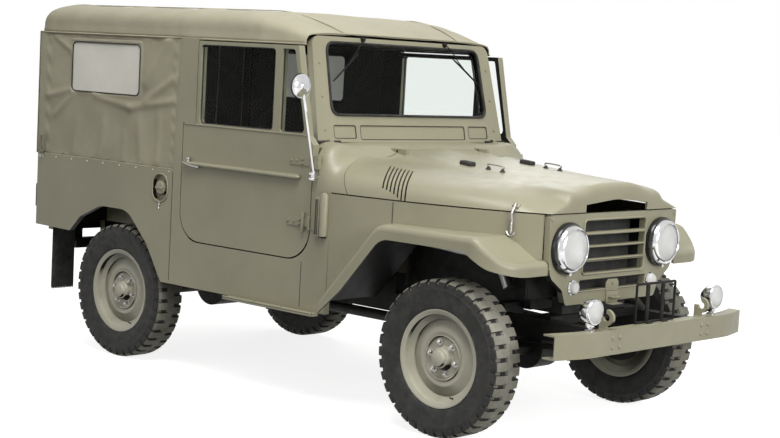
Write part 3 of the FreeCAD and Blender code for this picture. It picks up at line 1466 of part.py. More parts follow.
# Windscreen, in its own leaning plane
def make_windscreen():
    climb = 1 / math.cos(math.radians(s.screen_lean.value))
    top = (s.screen_top_z - s.screen_z) * climb
    glass_low = (s.glass_z_low - s.screen_z) * climb
    glass_top = (s.glass_z_top - s.screen_z) * climb
    low_half, top_half = s.screen_half_low - s.glass_inset_low, s.screen_half_top - s.glass_inset_top
    frame = slab("windscreen_frame", "YZ", -s.screen_t, 0, [
        (-s.screen_half_low, 0), (s.screen_half_low, 0), (s.screen_half_top, top, 50),
        (-s.screen_half_top, top, 50)])
    opening = [(-low_half, glass_low, s.glass_corner), (low_half, glass_low, s.glass_corner),
               (top_half, glass_top, s.glass_corner), (-top_half, glass_top, s.glass_corner)]
    pocket(frame, "YZ", -s.screen_t - BEYOND, BEYOND, opening)
    end = s.pressing_half + s.pressing_gap
    pocket(frame, "YZ", -s.pressing, BEYOND, rectangle(-s.pressing_half, s.pressing_half, 14, 84, 10),
           rectangle(-s.pressing_end, -end, 20, 84, 10), rectangle(end, s.pressing_end, 20, 84, 10))
    glass = slab("windscreen_glass", "YZ", -s.screen_t / 2 - 3, -s.screen_t / 2 + 3, opening)
    for thing in (frame, glass):
        turn(thing, (0, 1, 0), -s.screen_lean.value)
        place(thing, at(s.screen_x), 0, s.screen_z)
    level = box("screen_foot", at(s.screen_x) - 100, at(s.screen_x) + 100, -BODY_HALF, BODY_HALF,
                s.screen_z - 100, s.screen_z)
    keep("windscreen_frame", cut("windscreen_level", frame, level))
    keep("windscreen_glass", glass)


# Canvas top
def roof_wire(x, half, top, low):
    points = [(half, low), (half * 0.99, low + (top - low) * 0.45), (half * 0.93, low + (top - low) * 0.84),
              (half * 0.6, low + (top - low) * 0.97)]
    both = [(-y, z) for y, z in points] + [(0, top)] + [(y, z) for y, z in reversed(points)]
    curve = Part.BSplineCurve()
    curve.interpolate([FreeCAD.Vector(x, y, z) for y, z in both])
    floor = Part.LineSegment(curve.EndPoint, curve.StartPoint)
    return Part.Wire([curve.toShape(), floor.toShape()])


def roof_height(x):
    """Top of the canvas along the car: level, then falling until it lies on the windscreen."""
    break_x, front = at(s.roof_break).value, at(s.roof_front).value
    drop = (s.roof_z - s.canvas - s.screen_top_z - s.seat).value
    share = max(0.0, x - break_x) / (front - break_x)
    return s.roof_z.value - drop * share ** 1.6


def roof_loft(inset, rear, front):
    """The canvas form: rounded down at the tail, arched across, falling and narrowing to the front."""
    low = s.hem_z.value - inset
    roof_half = (BODY_HALF - s.roof_inset).value
    wires = []
    tail = s.roof_tail_r.value
    steps = 4
    for step in range(steps + 1):
        angle = math.radians(90 / steps * step)
        drop = tail * (1 - math.sin(angle))
        half = roof_half - 0.3 * drop
        wires.append(roof_wire(rear + tail * (1 - math.cos(angle)), half - inset,
                               s.roof_z.value - drop * 0.9 - inset, low))
    span = front - rear - tail
    for step in range(1, 9):
        share = step / 8
        x = rear + tail + span * share
        half = roof_half - s.roof_narrow.value * max(0.0, share - 0.4) ** 2 / 0.36
        wires.append(roof_wire(x, half - inset, roof_height(x) - inset, low))
    return Part.makeLoft(wires, True, True)


def make_canopy():
    t = s.canvas.value
    rear = at(-s.body_rear).value - t - s.seat.value
    front = at(s.roof_front).value
    shell = roof_loft(0, rear, front).cut(roof_loft(t, rear + t, front + BEYOND / 10))
    header = box("screen_header", at(s.roof_front) - 60, at(s.roof_front) + BEYOND, -s.screen_half_top - 4,
                 s.screen_half_top + 4, s.hem_z - BEYOND, s.screen_top_z + s.seat)
    keep("canopy", cut("canopy", shape_of("canopy_shell", shell), header))


def make_curtains():
    low, high = s.belt_z + s.seat, s.hem_z - s.seat
    out = BODY_HALF - 2
    rear = at(-s.body_rear)
    outline = [
        (rear, low),
        (at(s.b_post_low) - s.seat, low),
        (at(s.b_post_top) - s.seat, high),
        (rear, high),
    ]
    window = rectangle(at(-s.side_window_rear), at(s.side_window_front), s.side_window_low,
                       s.side_window_high,
                       30)
    right = slab("curtain_right", "XZ", -out, -(out - s.curtain_t), outline, window)
    keep("side_curtains", together("side_curtains", right, mirror("curtain_left", right)))
    back = slab("rear_curtain", "YZ", rear - s.curtain_t - s.seat, rear - s.seat,
                rectangle(-out + 30, out - 30, low, high), rectangle(-360, 360, 1380, 1640, 30))
    keep("rear_curtain", back)


# Inside
def make_inside():
    cushion_low = s.seat_z - s.cushion_t
    seats = []
    for side, sign in SIDES:
        y0, y1 = s.seat_y - s.seat_half, s.seat_y + s.seat_half
        seats.append(block(f"cushion_{side}", at(s.seat_rear) + 80, at(s.seat_front), sign, y0, y1,
                           cushion_low,
                           s.seat_z))
        seats.append(block(f"seat_back_{side}", at(s.seat_rear), at(s.seat_rear) + 75, sign, y0, y1,
                           cushion_low,
                           s.seat_z + 420))
    keep("front_seats", together("front_seats", *seats))
    bench_low = s.arch_top + 30 + s.seat
    keep("rear_benches", together("rear_benches", *[
        block(f"bench_{side}", at(-650), at(380), sign, s.bench_in, s.bench_out, bench_low,
              bench_low + s.bench_t)
        for side, sign in SIDES]))
    dash = at(s.cowl_rear) - s.seat
    keep("dashboard", box("dashboard", dash - 26, dash, -690, 690, 1010, s.screen_z - 6))


def make_steering_wheel():
    """A thin-rimmed wheel with three spokes, and its column down to the steering box on the frame."""
    lean = s.column_lean.value
    x, z = at(1155), as_size(1110)
    hub_back = 30
    wheel = doc.addObject("Part::Torus", "steering_ring")
    bind(wheel, "Radius1", s.wheel_ring_r)
    bind(wheel, "Radius2", s.wheel_grip_r)
    hub = rod("steering_hub", "z", 32, 40, 0, 0, -hub_back)
    spokes = []
    for number in range(3):
        spoke = box(f"spoke_{number}", 0, s.wheel_ring_r, -11, 11, -8, 0)
        turn(spoke, (0, 0, 1), 60 + 120 * number)
        place(spoke, 11 * math.sin(math.radians(60 + 120 * number)), -11 * math.cos(math.radians(
            60 + 120 * number)), -8)
        spokes.append(spoke)
    whole = fuse("steering_wheel", wheel, hub, *spokes)
    turn(whole, (0, 1, 0), -lean)
    place(whole, x, s.driver_y, z)
    keep("steering_wheel", whole)
    down = hub_back + s.seat
    column = rod("column_tube", "z", s.column_r, 640, 0, 0, 0)
    turn(column, (0, 1, 0), 180 - lean)
    place(column, x + down * math.sin(math.radians(lean)), s.driver_y,
          z - down * math.cos(math.radians(lean)))
    gear = box("steering_box", at(1570), at(1680), s.driver_y - 35, s.driver_y + 35, RAIL_TOP + s.seat, 640)
    keep("steering_column", fuse("steering_column", column, gear))
    return column


def make_firewall():
    """The bulkhead between cab and engine, open where the tunnel and the steering column pass."""
    inner = BODY_INNER - s.seat
    x0, x1 = at(s.firewall), at(s.firewall) + s.sheet_t
    low = box("firewall_low", x0, x1, -inner, inner, s.floor_z, s.hood_z - 10)
    high = box("firewall_high", x0, x1, -600, 600, s.hood_z - 20, s.hood_z + 140)
    bell = box("firewall_bell", x0 - BEYOND, x1 + BEYOND, -s.tunnel_half + s.sheet_t,
               s.tunnel_half - s.sheet_t, s.floor_z - BEYOND, s.tunnel_z - s.sheet_t)
    column = box("firewall_column", x0 - BEYOND, x1 + BEYOND, s.driver_y - 40, s.driver_y + 40,
                 s.floor_z - BEYOND, s.tunnel_z)
    keep("firewall", cut("firewall", fuse("firewall_solid", low, high), bell, column))


def make_small_pieces():
    steps = []
    flaps = []
    signals = []
    for side, sign in SIDES:
        steps.append(block(f"step_{side}", at(905), at(1530), sign, BODY_HALF - 10, BODY_HALF + 40, 441,
                           s.sill_z - s.seat))
        flaps.append(block(f"flap_{side}", at(-620), at(-612), sign, s.rear_track_half - s.tyre_w / 2 - 5,
                           BODY_INNER - 5, 285, s.rear_floor_z - s.seat))
        signals.append(block(f"signal_{side}", at(1500), at(1570), sign, BODY_HALF, BODY_HALF + 30, 814,
                             s.hood_z - s.gap))
    keep("side_steps", together("side_steps", *steps))
    keep("mud_flaps", together("mud_flaps", *flaps))
    keep("arm_signals", together("arm_signals", *signals))


def make_mirror():
    """A round mirror on a long arm from the right cowl side."""
    x, foot_z = at(s.mirror_x), s.mirror_foot_z
    start_y = -BODY_HALF - 12
    out = s.mirror_out - 12
    rise = s.mirror_z - foot_z
    foot = box("mirror_foot", x - 12, x + 12, -BODY_HALF - 22, -BODY_HALF + 2, foot_z - 20, foot_z + 20)
    arm = doc.addObject("Part::Cylinder", "mirror_arm")
    bind(arm, "Radius", 5)
    bind(arm, "Height", math.hypot(out.value, rise.value) - 10)
    turn(arm, (1, 0, 0), math.degrees(math.atan2(out.value, rise.value)))
    place(arm, x, start_y, foot_z)
    head = rod("mirror_head", "x", s.mirror_r, 14, x - 16, -BODY_HALF - s.mirror_out, s.mirror_z)
    keep("mirror", fuse("mirror", foot, arm, head))


for make in (make_wheels, make_steering, make_front_axle, make_rear_axle, make_chassis, make_drive,
             make_exhaust,
             make_floor, make_rear_floor, make_firewall, make_body, make_doors, make_tailgate, make_nose,
             make_engine_sides, make_fenders, make_front_panel, make_lamps, make_bumper, make_windscreen,
             make_canopy, make_curtains, make_inside, make_steering_wheel, make_small_pieces, make_mirror):
    make()

doc.recompute()
for thing in doc.Objects:
    if "Invalid" in thing.State or "Error" in thing.State:
        raise RuntimeError(f"{thing.Name}: {thing.State}")

os.makedirs("parts", exist_ok=True)
for node, thing in parts.items():
    shape = thing.Shape
    if shape.isNull() or not shape.isValid() or not shape.Solids:
        raise RuntimeError(f"{node} has no valid solid")
    shape.exportStep(f"parts/{node}.step")
print(len(parts), "nodes")
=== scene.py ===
import json
from math import copysign, cos, exp, hypot, pi, radians, sin, sqrt, tan

import bmesh
import bpy
from mathutils import Matrix, Vector
from mathutils.bvhtree import BVHTree


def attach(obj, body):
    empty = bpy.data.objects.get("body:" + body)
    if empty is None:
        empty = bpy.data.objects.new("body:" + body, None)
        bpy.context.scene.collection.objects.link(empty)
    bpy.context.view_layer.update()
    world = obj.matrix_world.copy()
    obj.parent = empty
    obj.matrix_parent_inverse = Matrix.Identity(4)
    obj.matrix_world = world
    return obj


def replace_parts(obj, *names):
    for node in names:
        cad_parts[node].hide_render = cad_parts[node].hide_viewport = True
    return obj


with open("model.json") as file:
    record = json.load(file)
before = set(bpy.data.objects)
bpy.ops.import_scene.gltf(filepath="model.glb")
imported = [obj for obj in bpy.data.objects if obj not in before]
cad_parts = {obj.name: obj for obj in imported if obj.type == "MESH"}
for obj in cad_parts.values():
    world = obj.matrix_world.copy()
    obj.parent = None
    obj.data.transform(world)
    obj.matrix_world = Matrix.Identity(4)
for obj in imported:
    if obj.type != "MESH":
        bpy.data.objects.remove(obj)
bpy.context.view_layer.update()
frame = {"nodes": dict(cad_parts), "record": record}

# Camera, solved from the photograph: metres, degrees and a 36 mm wide sensor
CAMERA_PLACE = (5.8925, -6.3549, 1.6621)
CAMERA_YAW = 132.8
CAMERA_PITCH = -6.0
CAMERA_ROLL = 3.1
LENS = 76.44
SENSOR = 36.0
SHIFT = (0.0319, 0.0201)


# Node graphs for the procedural materials
class Graph:
    """A material's node tree, with short ways to add and join nodes."""

    def __init__(self, name):
        self.material = bpy.data.materials.new(name)
        self.material.use_nodes = True
        self.tree = self.material.node_tree
        self.shader = self.tree.nodes["Principled BSDF"]

    def node(self, kind, settings=None, **inputs):
        node = self.tree.nodes.new(kind)
        for name, value in (settings or {}).items():
            setattr(node, name, value)
        for name, value in inputs.items():
            self.feed(node.inputs[name.replace("_", " ")], value)
        return node

    def feed(self, socket, value):
        if isinstance(value, bpy.types.NodeSocket):
            self.tree.links.new(value, socket)
        else:
            socket.default_value = value

    def place(self):
        """The point's place on the object, in metres, at rest."""
        return self.node("ShaderNodeTexCoord").outputs["Object"]

    def noise(self, scale, detail=4.0, roughness=0.55):
        node = self.node("ShaderNodeTexNoise", Vector=self.place(), Scale=scale, Detail=detail,
                         Roughness=roughness)
        return node.outputs["Fac"]

    def ramp(self, value, *stops):
        """Colours or greys along a value. Each stop is (place, colour or grey)."""
        node = self.node("ShaderNodeValToRGB", Fac=value)
        points = node.color_ramp.elements
        while len(points) < len(stops):
            points.new(0.5)
        for point, (where, colour) in zip(points, stops):
            point.position = where
            point.color = (colour,) * 3 + (1,) if isinstance(colour, float) else tuple(colour) + (1,)
        return node.outputs["Color"]

    def wave(self, direction, scale, distortion=0.0):
        node = self.node("ShaderNodeTexWave", {"wave_type": "BANDS", "bands_direction": direction},
                         Vector=self.place(), Scale=scale, Distortion=distortion, Detail=1.0)
        return node.outputs["Fac"]

    def math(self, operation, a, b=0.5, clamp=False):
        node = self.node("ShaderNodeMath", {"operation": operation, "use_clamp": clamp})
        self.feed(node.inputs[0], a)
        self.feed(node.inputs[1], b)
        return node.outputs[0]

    def mix(self, share, a, b):
        node = self.node("ShaderNodeMix", {"data_type": "RGBA"})
        self.feed(node.inputs["Factor"], share)
        for socket, value in ((node.inputs["A"], a), (node.inputs["B"], b)):
            colour = [s for s in node.inputs if s.name == socket.name and s.type == "RGBA"][0]
            self.feed(colour, value if isinstance(value, bpy.types.NodeSocket) else tuple(value) + (1,))
        return [s for s in node.outputs if s.type == "RGBA"][0]

    def bump(self, height, distance, strength=1.0, normal=None):
        node = self.node("ShaderNodeBump", Height=height, Distance=distance, Strength=strength)
        if normal:
            self.feed(node.inputs["Normal"], normal)
        return node.outputs["Normal"]

    def set(self, **inputs):
        names = {"color": "Base Color", "rough": "Roughness", "metal": "Metallic", "normal": "Normal",
                 "specular": "Specular IOR Level", "sheen": "Sheen Weight",
                 "sheen_rough": "Sheen Roughness", "clear": "Transmission Weight", "ior": "IOR",
                 "glow": "Emission Strength", "glow_color": "Emission Color"}
        for name, value in inputs.items():
            if isinstance(value, tuple) and len(value) == 3:
                value = value + (1,)
            self.feed(self.shader.inputs[names[name]], value)
        return self.material


PAINT = (0.262, 0.248, 0.168)
PAINT_DUSTY = (0.320, 0.300, 0.215)
PAINT_DARK = (0.175, 0.165, 0.110)
WHEEL_PAINT = (0.430, 0.415, 0.330)
# Painted shade: near black, laid on low undersides and on faces towards the cabin's middle
PAINTED_SHADE = (0.014, 0.014, 0.013)
CABIN = (-0.5, 0.0, 1.0)


def in_cabin_shade(g):
    """One where a wall, roof or floor faces the cabin's middle, for the painted shade inside the cabin, and
    else nothing.
    """
    away = g.node("ShaderNodeVectorMath", {"operation": "SUBTRACT"})
    g.feed(away.inputs[0], g.place())
    g.feed(away.inputs[1], CABIN)
    lean = g.node("ShaderNodeVectorMath", {"operation": "DOT_PRODUCT"})
    g.feed(lean.inputs[0], away.outputs["Vector"])
    g.feed(lean.inputs[1], g.node("ShaderNodeTexCoord").outputs["Normal"])
    wall = g.math("LESS_THAN", lean.outputs["Value"], -0.25)
    spot = g.node("ShaderNodeSeparateXYZ", Vector=g.place()).outputs
    ahead = g.math("LESS_THAN", spot["X"], 0.43)
    return g.math("MULTIPLY", wall, g.math("MULTIPLY", ahead, g.math("GREATER_THAN", spot["Z"], 0.46)))


def times(colour, share):
    return tuple(c * share for c in colour)


def paint(name, base=PAINT):
    """Old semi-matt field paint: cloudy, dustier low down, with a faint orange-peel and scuffs, and painted
    shade on low undersides and on faces towards the cabin.
    """
    g = Graph(name)
    cloud = g.ramp(g.noise(2.2, 5), (0.32, times(base, 0.9)), (0.7, times(base, 1.08)))
    height = g.node("ShaderNodeSeparateXYZ", Vector=g.place()).outputs["Z"]
    low = g.math("SUBTRACT", 1.0, g.math("MULTIPLY", height, 1.1), clamp=True)
    dust = g.math("MULTIPLY", low, g.ramp(g.noise(9.0, 6), (0.42, 0.0), (0.68, 1.0)), clamp=True)
    colour = g.mix(g.math("MULTIPLY", dust, 0.45), cloud, PAINT_DUSTY)
    scuff = g.ramp(g.noise(60.0, 3, 0.6), (0.66, 0.0), (0.72, 1.0))
    colour = g.mix(g.math("MULTIPLY", scuff, 0.16), colour, PAINT_DARK)
    # Painted shade: faces looking down below 0.93 m and faces towards the cabin turn near black, with less
    # specular
    facing = g.node("ShaderNodeTexCoord").outputs["Normal"]
    down = g.math("MULTIPLY", g.node("ShaderNodeSeparateXYZ", Vector=facing).outputs["Z"], -1.0)
    underside_shade = g.math("MULTIPLY", g.ramp(down, (0.30, 0.0), (0.50, 1.0)), g.math("LESS_THAN", height, 0.93))
    dark = g.math("MAXIMUM", underside_shade, in_cabin_shade(g))
    colour = g.mix(dark, colour, PAINTED_SHADE)
    rough = g.ramp(g.noise(14.0, 5), (0.3, 0.36), (0.75, 0.50))
    peel = g.noise(420.0, 2)
    return g.set(color=colour, rough=rough, normal=g.bump(peel, 0.0006, 0.22),
                 specular=g.math("SUBTRACT", 0.5, g.math("MULTIPLY", dark, 0.42)))


CANVAS = (0.365, 0.340, 0.245)


def canvas(name):
    """Proofed cotton duck: a plain weave, faded in clouds, with darker soaked patches, and painted shade on
    faces towards the cabin.
    """
    g = Graph(name)
    warp, weft, cross = [g.wave(direction, 260.0, 0.6) for direction in "XZY"]
    weave = g.math("MULTIPLY", g.math("ADD", warp, g.math("ADD", weft, cross)), 0.33)
    faded = g.ramp(g.noise(3.0, 6, 0.6), (0.3, times(CANVAS, 0.88)), (0.72, times(CANVAS, 1.1)))
    grain = g.mix(g.math("MULTIPLY", weave, 0.22), faded, times(CANVAS, 0.72))
    # Painted shade: faces towards the cabin turn near black
    grain = g.mix(in_cabin_shade(g), grain, PAINTED_SHADE)
    normal = g.bump(weave, 0.0004, 0.5)
    normal = g.bump(g.noise(26.0, 5, 0.6), 0.003, 0.35, normal)
    return g.set(color=grain, rough=0.86, normal=normal, specular=0.25, sheen=0.12, sheen_rough=0.5)


def rubber(name, base=(0.018, 0.018, 0.0175), dust=0.35, dirt=(0.085, 0.080, 0.068)):
    g = Graph(name)
    grime = g.ramp(g.noise(16.0, 6, 0.62), (0.42, 0.0), (0.75, 1.0))
    colour = g.mix(g.math("MULTIPLY", grime, dust), base, dirt)
    return g.set(color=colour, rough=g.ramp(g.noise(30.0, 4), (0.3, 0.60), (0.7, 0.80)),
                 normal=g.bump(g.noise(300.0, 3), 0.0008, 0.3), specular=0.3)


def chrome(name):
    g = Graph(name)
    cloud = g.ramp(g.noise(12.0, 4), (0.35, (0.55, 0.55, 0.56)), (0.7, (0.70, 0.70, 0.71)))
    return g.set(color=cloud, metal=1.0, rough=g.ramp(g.noise(40.0, 5), (0.35, 0.08), (0.7, 0.22)))


def cast_metal(name):
    base = (0.06, 0.06, 0.058)
    g = Graph(name)
    return g.set(color=g.ramp(g.noise(20.0, 6), (0.3, times(base, 0.6)), (0.7, base)), metal=0.4,
                 rough=0.62, normal=g.bump(g.noise(180.0, 4), 0.001, 0.5), specular=0.15)


def black_paint(name):
    g = Graph(name)
    grime = g.ramp(g.noise(11.0, 6, 0.6), (0.45, 0.0), (0.75, 1.0))
    colour = g.mix(g.math("MULTIPLY", grime, 0.4), (0.009, 0.009, 0.0085), (0.035, 0.032, 0.026))
    return g.set(color=colour, rough=g.ramp(g.noise(25.0, 4), (0.3, 0.38), (0.7, 0.65)),
                 normal=g.bump(g.noise(150.0, 3), 0.0008, 0.3), specular=0.12)


def window_glass(name):
    g = Graph(name)
    smear = g.ramp(g.noise(6.0, 6, 0.65), (0.45, 0.0), (0.8, 0.05))
    return g.set(color=(0.90, 0.93, 0.91), rough=smear, clear=1.0, ior=1.1, specular=0.12)


def vinyl(name):
    base = (0.035, 0.030, 0.024)
    g = Graph(name)
    cells = g.node("ShaderNodeTexVoronoi", {"feature": "DISTANCE_TO_EDGE"}, Vector=g.place(), Scale=320.0)
    return g.set(color=g.ramp(g.noise(8.0, 5), (0.35, times(base, 0.75)), (0.7, base)),
                 rough=g.ramp(g.noise(22.0, 4), (0.3, 0.45), (0.7, 0.62)),
                 normal=g.bump(cells.outputs["Distance"], 0.0008, 0.3))


def plastic(name):
    base = (0.012, 0.012, 0.012)
    g = Graph(name)
    return g.set(color=base, rough=g.ramp(g.noise(30.0, 4), (0.3, 0.22), (0.7, 0.36)), specular=0.5)


MATERIALS = {
    "body_paint": paint("field_paint"),
    "wheel_paint": paint("wheel_paint", WHEEL_PAINT),
    "chassis_black": black_paint("chassis_paint"),
    "cast_metal": cast_metal("cast_iron"),
    "lamp_chrome": chrome("chrome"),
    "window_glass": window_glass("window_glass"),
    "canvas": canvas("canvas_duck"),
    "seat_cover": vinyl("seat_vinyl"),
    "tyre_rubber": rubber("tyre_rubber"),
    "flap_rubber": rubber("flap_rubber", dust=0.6),
    "wheel_plastic": plastic("steering_plastic"),
}


def dress_nodes():
    """Gives each carried-over node the material of its slot in the record."""
    for part in frame["record"]["subparts"]:
        node = frame["nodes"][part["node"]]
        node.data.materials.clear()
        node.data.materials.append(MATERIALS[part["material_slot"]])


# Camera, light and floor
def camera_axes():
    """The camera's right, up and forward directions from its yaw, pitch and roll."""
    yaw, pitch, roll = (radians(a) for a in (CAMERA_YAW, CAMERA_PITCH, CAMERA_ROLL))
    forward = Vector((cos(pitch) * cos(yaw), cos(pitch) * sin(yaw), sin(pitch)))
    right = forward.cross(Vector((0, 0, 1))).normalized()
    up = right.cross(forward)
    return (right * cos(roll) + up * sin(roll), up * cos(roll) - right * sin(roll), forward)


def make_camera():
    data = bpy.data.cameras.new("photo_camera")
    camera = add_object("photo_camera", data)
    right, up, forward = camera_axes()
    turned = Matrix((right, up, -forward)).transposed().to_4x4()
    camera.matrix_world = Matrix.Translation(CAMERA_PLACE) @ turned
    data.lens = LENS
    data.sensor_width = SENSOR
    data.shift_x, data.shift_y = SHIFT
    data.clip_end = 100
    bpy.context.scene.camera = camera


BACKDROP = (1.0, 1.0, 1.0)
WORLD_LIGHT = (1.0, 0.99, 0.97)


def make_world():
    """A pale grey surround that lights softly and shows as the backdrop to the camera, metal and glass."""
    world = bpy.data.worlds.new("studio")
    bpy.context.scene.world = world
    world.use_nodes = True
    nodes, links = world.node_tree.nodes, world.node_tree.links
    nodes.clear()
    path = nodes.new("ShaderNodeLightPath").outputs
    seen = path["Is Camera Ray"]
    for ray in ("Is Glossy Ray", "Is Transmission Ray"):
        either = nodes.new("ShaderNodeMath")
        either.operation = "MAXIMUM"
        links.new(seen, either.inputs[0])
        links.new(path[ray], either.inputs[1])
        seen = either.outputs[0]
    mix = nodes.new("ShaderNodeMixShader")
    links.new(seen, mix.inputs[0])
    for socket, colour, strength in ((1, WORLD_LIGHT, 0.34), (2, BACKDROP, 1.0)):
        shade = nodes.new("ShaderNodeBackground")
        shade.inputs["Color"].default_value = colour + (1,)
        shade.inputs["Strength"].default_value = strength
        links.new(shade.outputs[0], mix.inputs[socket])
    links.new(mix.outputs[0], nodes.new("ShaderNodeOutputWorld").inputs["Surface"])


def add_object(name, data):
    thing = bpy.data.objects.new(name, data)
    bpy.context.scene.collection.objects.link(thing)
    return thing


def add_piece(name, mesh, body="car"):
    """Puts a mesh into the scene as a piece riding on a body."""
    thing = add_object(name, mesh)
    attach(thing, body)
    return thing


def make_lamp(name, place, aim, size, power):
    data = bpy.data.lights.new(name, "AREA")
    data.shape = "RECTANGLE"
    data.size, data.size_y = size
    data.energy = power
    lamp = add_object(name, data)
    lamp.location = place
    lamp.rotation_euler = (Vector(aim) - Vector(place)).to_track_quat("-Z", "Y").to_euler()


def make_lights():
    make_lamp("key", (2.2, -2.6, 6.5), (0.2, 0, 0.9), (3.5, 3.5), 400)
    make_lamp("side", (-1.5, -7.0, 2.6), (0, 0, 0.9), (5, 3), 30)
    make_lamp("front", (7.0, -1.5, 2.6), (1.0, 0, 0.8), (3, 2), 250)
    make_lamp("back", (-4.0, 5.0, 5.0), (0, 0, 1.0), (4, 4), 120)


def make_floor():
    mesh = bpy.data.meshes.new("floor")
    reach = 40
    mesh.from_pydata([(-reach, -reach, 0), (reach, -reach, 0), (reach, reach, 0), (-reach, reach, 0)], [],
                     [(0, 1, 2, 3)])
    floor = add_object("floor", mesh)
    g = Graph("floor_finish")
    path = g.node("ShaderNodeLightPath").outputs
    seen = g.math("MAXIMUM", path["Is Camera Ray"], path["Is Glossy Ray"])
    seen = g.math("MAXIMUM", seen, path["Is Transmission Ray"])
    g.set(color=g.mix(seen, (0.12, 0.12, 0.115), (0.50, 0.50, 0.49)), rough=0.9, specular=0.0)
    g.set(glow_color=BACKDROP, glow=g.math("MULTIPLY", seen, 0.84))
    mesh.materials.append(g.material)


# Mesh tools. Places are in millimetres: ahead of the rear axle, to the car's left, and up
REAR_AXLE = -1085.0
TO_ROW = Vector((REAR_AXLE, 0, 0))


def along(direction, place=(0, 0, 0), spin=0.0, toward=(1, 0, 0)):
    """A turn and move that points local Z along a direction, with local X kept near toward."""
    z = Vector(direction).normalized()
    x = Vector(toward) - z * z.dot(Vector(toward))
    if x.length < 1e-3:
        x = Vector((0, 1, 0)) - z * z.y
    x.normalize()
    turned = Matrix((x, z.cross(x), z)).transposed().to_4x4()
    return Matrix.Translation(Vector(place)) @ turned @ Matrix.Rotation(radians(spin), 4, "Z")


def ahead(x, y, z, way=1):
    """A place whose local Z points forward, or back where way is -1, with local X up."""
    return along((way, 0, 0), (x, y, z), toward=(0, 0, 1))


def upright(x, y, z):
    return along((0, 0, 1), (x, y, z))


def even(points, count):
    """A polyline's points spread evenly along its length."""
    points = [Vector(p) for p in points]
    gone = [0.0]
    for a, b in zip(points, points[1:]):
        gone.append(gone[-1] + (b - a).length)
    out = []
    k = 0
    for step in range(count):
        want = gone[-1] * step / (count - 1)
        while k < len(points) - 2 and gone[k + 1] < want:
            k += 1
        span = gone[k + 1] - gone[k]
        out.append(points[k].lerp(points[k + 1], (want - gone[k]) / span if span else 0.0))
    return out


def smooth_path(points, steps):
    """A rounded path through a few points."""
    points = [Vector(p) for p in points]
    out = []
    for i in range(len(points) - 1):
        a, b = points[i:i + 2]
        before = points[max(i - 1, 0)]
        after = points[min(i + 2, len(points) - 1)]
        for step in range(steps):
            t = step / steps
            out.append(0.5 * (2 * a + (b - before) * t + (2 * before - 5 * a + 4 * b - after) * t * t
                              + (3 * a - before - 3 * b + after) * t ** 3))
    return out + [points[-1]]


def rounded(u0, u1, v0, v1, radius, steps=6):
    """The outline of a rectangle with round corners, anticlockwise."""
    out = []
    for u, v, start in ((u1, v1, 0), (u0, v1, 90), (u0, v0, 180), (u1, v0, 270)):
        cu = u - radius if u == u1 else u + radius
        cv = v - radius if v == v1 else v + radius
        for step in range(steps + 1):
            angle = radians(start + 90 * step / steps)
            out.append((cu + radius * cos(angle), cv + radius * sin(angle)))
    return out


